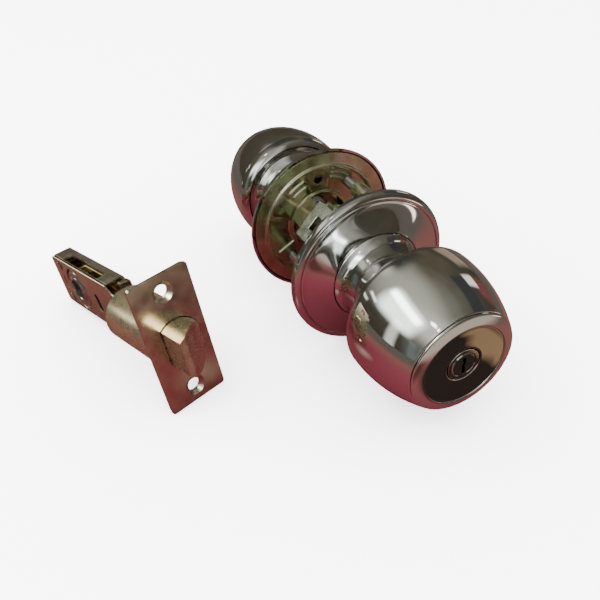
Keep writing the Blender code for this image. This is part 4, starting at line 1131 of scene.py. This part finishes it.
def add_floor():
    """Pale floor, which polished metal sees as the dark red table that the set lay on."""
    floor, tree = rectangle("floor", FLOOR_HALF, FLOOR_HALF)
    floor.location.z = FLOOR_Z
    pale = tree.nodes["Principled BSDF"]
    fill(tree, pale, {"Base Color": (0.93, 0.93, 0.93, 1), "Roughness": 0.9, "Specular IOR Level": 0.0})
    where = here(tree)
    color = TABLE_FAR
    for spot, inner, outer, tone in TABLE:
        distance = vector_math(tree, "DISTANCE", where, spot)
        color = mixed(tree, remap(tree, distance, inner, outer, 1.0, 0.0), color, tone)
    table = add_node(tree, "BsdfDiffuse", {"Color": color})
    show_mix(tree, reflected(tree), pale.outputs["BSDF"], table.outputs["BSDF"])


# Soft studio panels: azimuth, elevation, width and height in degrees seen from the set, and radiance
LIGHTS = [("key", -105, 52, 60, 40, 8.0), ("fill", 40, 60, 70, 50, 2.0)]
LIGHT_FAR = 1.5


def add_light(name, azimuth, elevation, width, height, radiance):
    data = bpy.data.lights.new(name, "AREA")
    data.shape = "RECTANGLE"
    data.size = 2 * LIGHT_FAR * tan(radians(width / 2))
    data.size_y = 2 * LIGHT_FAR * tan(radians(height / 2))
    data.energy = radiance * pi * data.size * data.size_y
    light = linked(name, data)
    direction = compass(azimuth, elevation)
    light.location = direction * LIGHT_FAR + Vector((0, 0, 0.05))
    light.rotation_euler = direction.to_track_quat("Z", "Y").to_euler()
    light.visible_glossy = False


# The room that polished metal sees: its tone from straight below (0) to straight above (1), and its
# windows, lamps and walls by azimuth, elevation, width, height and softness in degrees, and colour
SKY = [
    (0.0, (0.060, 0.052, 0.042)),
    (0.50, (0.072, 0.060, 0.042)),
    (0.66, (0.078, 0.070, 0.052)),
    (0.85, (0.120, 0.112, 0.082)),
    (0.93, (0.165, 0.158, 0.118)),
    (1.0, (0.300, 0.292, 0.235)),
]
ROOM = [
    (-8, 36, 30, 52, 16, (0.70, 0.69, 0.62)),
    (-46, 56, 52, 32, 20, (0.50, 0.50, 0.45)),
    (-74, 4, 22, 34, 12, (0.16, 0.17, 0.15)),
    (134, 38, 22, 24, 9, (0.130, 0.108, 0.070)),
    (158, 34, 12, 20, 7, (0.120, 0.100, 0.066)),
    (96, 36, 29, 21, 4, (0.058, 0.058, 0.064)),
    (106, 4, 13, 26, 5, (0.24, 0.085, 0.070)),
    (127, 0, 14, 34, 6, (0.46, 0.35, 0.25)),
    (109, 21, 7, 13, 3, (1.7, 1.55, 1.4)),
    (-79, 10, 6, 24, 3, (0.20, 0.235, 0.225)),
    (-131, 25, 10, 3, 3, (2.4, 2.4, 2.3)),
    (-136, 16, 8, 2.5, 3, (1.8, 1.8, 1.7)),
    (-124, 2, 9, 3, 3, (0.7, 0.7, 0.6)),
    (-168, 40, 16, 12, 12, (0.50, 0.51, 0.48)),
    (-14, 20, 22, 12, 8, (1.5, 1.5, 1.4)),
    (-58, 62, 5, 4, 3, (7.0, 7.0, 6.6)),
]
EVEN_LIGHT = 7.0


def add_world():
    """Even pale light, and the dim room that polished metal sees in its place."""
    world = bpy.data.worlds.new("studio")
    SCENE.world = world
    world.use_nodes = True
    tree = world.node_tree
    room = tree.nodes["Background"]
    where = here(tree, "Generated")
    split = add_node(tree, "SeparateXYZ", {"Vector": where})
    color = ramp(tree, remap(tree, split.outputs["Z"], -1.0, 1.0, 0.0, 1.0), SKY)
    for *facts, tone in ROOM:
        color = mixed(tree, panel(tree, where, *facts), color, tone)
    fill(tree, room, {"Color": color, "Strength": 1.0})
    even = add_node(tree, "Background", {"Color": (1.0, 1.0, 1.0, 1), "Strength": EVEN_LIGHT})
    outputs = (even.outputs["Background"], room.outputs["Background"])
    show_mix(tree, reflected(tree), *outputs, output="World Output")


# Cards that only some pieces reflect, as a near window lights each part from a direction of its own:
# the pieces, then azimuth, elevation, width, height and softness in degrees, and colour
NEAR_METAL = [
    "near_knob_shell", "near_knob_cap", "near_knob_neck", "near_liner", "far_liner",
    "near_bracket", "far_bracket", "screw_post_upper", "screw_post_lower", "retractor",
    "retractor_case",
]
FAR_METAL = ["far_knob_shell", "far_knob_cap", "far_knob_neck"]
ROSES = ["near_rose", "far_rose"]
LATCH_PIECES = [
    "latch_case_cover", "cam_hub", "faceplate", "case_rivet_1", "case_rivet_2", "case_rivet_3",
    "backplate",
]
CARDS = [
    ("window_glow", NEAR_METAL, (-104, 61, 84, 48, 42, (0.52, 0.52, 0.46))),
    ("window", NEAR_METAL, (-104, 44, 36, 34, 13, (3.1, 3.4, 3.3))),
    ("window_head", NEAR_METAL, (-106, 53, 34, 9, 6, (5.4, 5.9, 5.9))),
    ("strip", NEAR_METAL, (-97, 14, 8, 40, 5, (1.15, 1.20, 1.07))),
    ("horizon", ["near_knob_cap"], (20, 0, 90, 14, 20, (0.15, 0.14, 0.12))),
    ("rose_glow", ROSES, (-100, 52, 60, 16, 8, (0.8, 0.8, 0.7))),
    ("far_glow", FAR_METAL, (-58, 34, 40, 18, 17, (2.6, 2.7, 2.6))),
    ("far_glow_low", FAR_METAL, (-38, 18, 14, 22, 12, (1.8, 1.9, 1.8))),
    ("latch_glow", LATCH_PIECES, (-148, 29, 44, 24, 10, (6.5, 6.3, 5.6))),
    ("case_glow", ["latch_case"], (-140, 14, 20, 16, 8, (2.5, 2.4, 2.1))),
    ("tube_glow", ["latch_tube"], (-146, 26, 40, 24, 10, (0.22, 0.20, 0.14))),
    ("tube_spot", ["latch_tube"], (-132, 8, 10, 9, 6, (6.5, 6.2, 5.4))),
    ("corner_glow", ["latch_bolt", "faceplate"], (-10, 41, 30, 24, 12, (18.0, 17.6, 16.0))),
]
CARD_FAR = 3.0
FLAG = ((-0.09, 0.06, 0.17), (-0.085, 0.041, 0.045), 0.15, (0.055, 0.055, 0.048))


def reflected_card(name, spot, half_w, half_h, direction, color):
    """Card at a spot in metres that faces the set from a direction, seen in reflections alone."""
    obj, tree = rectangle(name, half_w, half_h)
    obj.location = spot
    obj.rotation_euler = direction.to_track_quat("Z", "Y").to_euler()
    obj.visible_camera = False
    obj.visible_diffuse = False
    obj.visible_shadow = False
    obj.visible_transmission = False
    tree.nodes.remove(tree.nodes["Principled BSDF"])
    glow = add_node(tree, "Emission", {"Color": (*color, 1)})
    clear = add_node(tree, "BsdfTransparent", {})
    return obj, tree, glow, clear


def soft_mask(tree, half_w, half_h, cores):
    """1 in the middle of a card, falling to 0 at its edge from the share in cores."""
    split = add_node(tree, "SeparateXYZ", {"Vector": here(tree)})
    masks = []
    for axis, half, core in zip("XY", (half_w, half_h), cores):
        masks.append(fade(tree, split.outputs[axis], half * core, half))
    return product(tree, *masks)


def add_card(name, pieces, azimuth, elevation, width, height, soft, color):
    """Glowing card that only some pieces reflect, beside what else they see there."""
    objs = [bpy.data.objects.get(piece + "_fine") or cad_piece(piece) for piece in pieces]
    corners = [obj.matrix_world @ Vector(c) for obj in objs for c in obj.bound_box]
    middle = sum(corners, Vector()) / len(corners)
    ahead = compass(azimuth, elevation)
    outer = [tan(radians((angle + soft) / 2)) for angle in (width, height)]
    inner = [tan(radians(max(angle - soft, 0) / 2)) for angle in (width, height)]
    halves = [CARD_FAR * half for half in outer]
    spot = middle + ahead * CARD_FAR
    obj, tree, glow, clear = reflected_card(name, spot, *halves, ahead, color)
    mask = soft_mask(tree, *halves, [core / half for core, half in zip(inner, outer)])
    fill(tree, glow, {"Strength": mask})
    both = add_node(tree, "AddShader", {0: glow.outputs["Emission"], 1: clear.outputs["BSDF"]})
    fill(tree, tree.nodes["Material Output"], {"Surface": both.outputs["Shader"]})
    group = bpy.data.collections.new(name)
    for piece in objs:
        group.objects.link(piece)
    obj.light_linking.receiver_collection = group


def add_flag(name, spot, target, size, color):
    """Dark card that hides part of the room from the metal near it. Its lengths are in metres."""
    ahead = (Vector(spot) - Vector(target)).normalized()
    half = size / 2
    tree, glow, clear = reflected_card(name, spot, half, half, ahead, color)[1:]
    mask = soft_mask(tree, half, half, (0.4, 0.4))
    show_mix(tree, mask, clear.outputs["BSDF"], glow.outputs["Emission"])


add_camera()
for side, place in (("near", NEAR), ("far", FAR)):
    make_rose(side, place)
    make_shell(side, place)
    make_cap(side, place)
    make_neck(side, place)
for side, place in (("near", NEAR_CHASSIS), ("far", FAR_CHASSIS)):
    make_liner(side, place)
    make_bracket(side, place)
make_screws()
make_springs()
make_key_plug()
make_turn_button()
make_plates()
make_bolt()
make_tube()
make_bar_guide()
make_case()
make_cover()
make_rivets()
make_hub()
for node, metal_of_node in PLAIN_METALS.items():
    dress(node, metal_of_node)
add_floor()
add_world()
for facts in LIGHTS:
    add_light(*facts)
bpy.context.view_layer.update()
for name, pieces, facts in CARDS:
    add_card(name, pieces, *facts)
add_flag("flag", *FLAG)
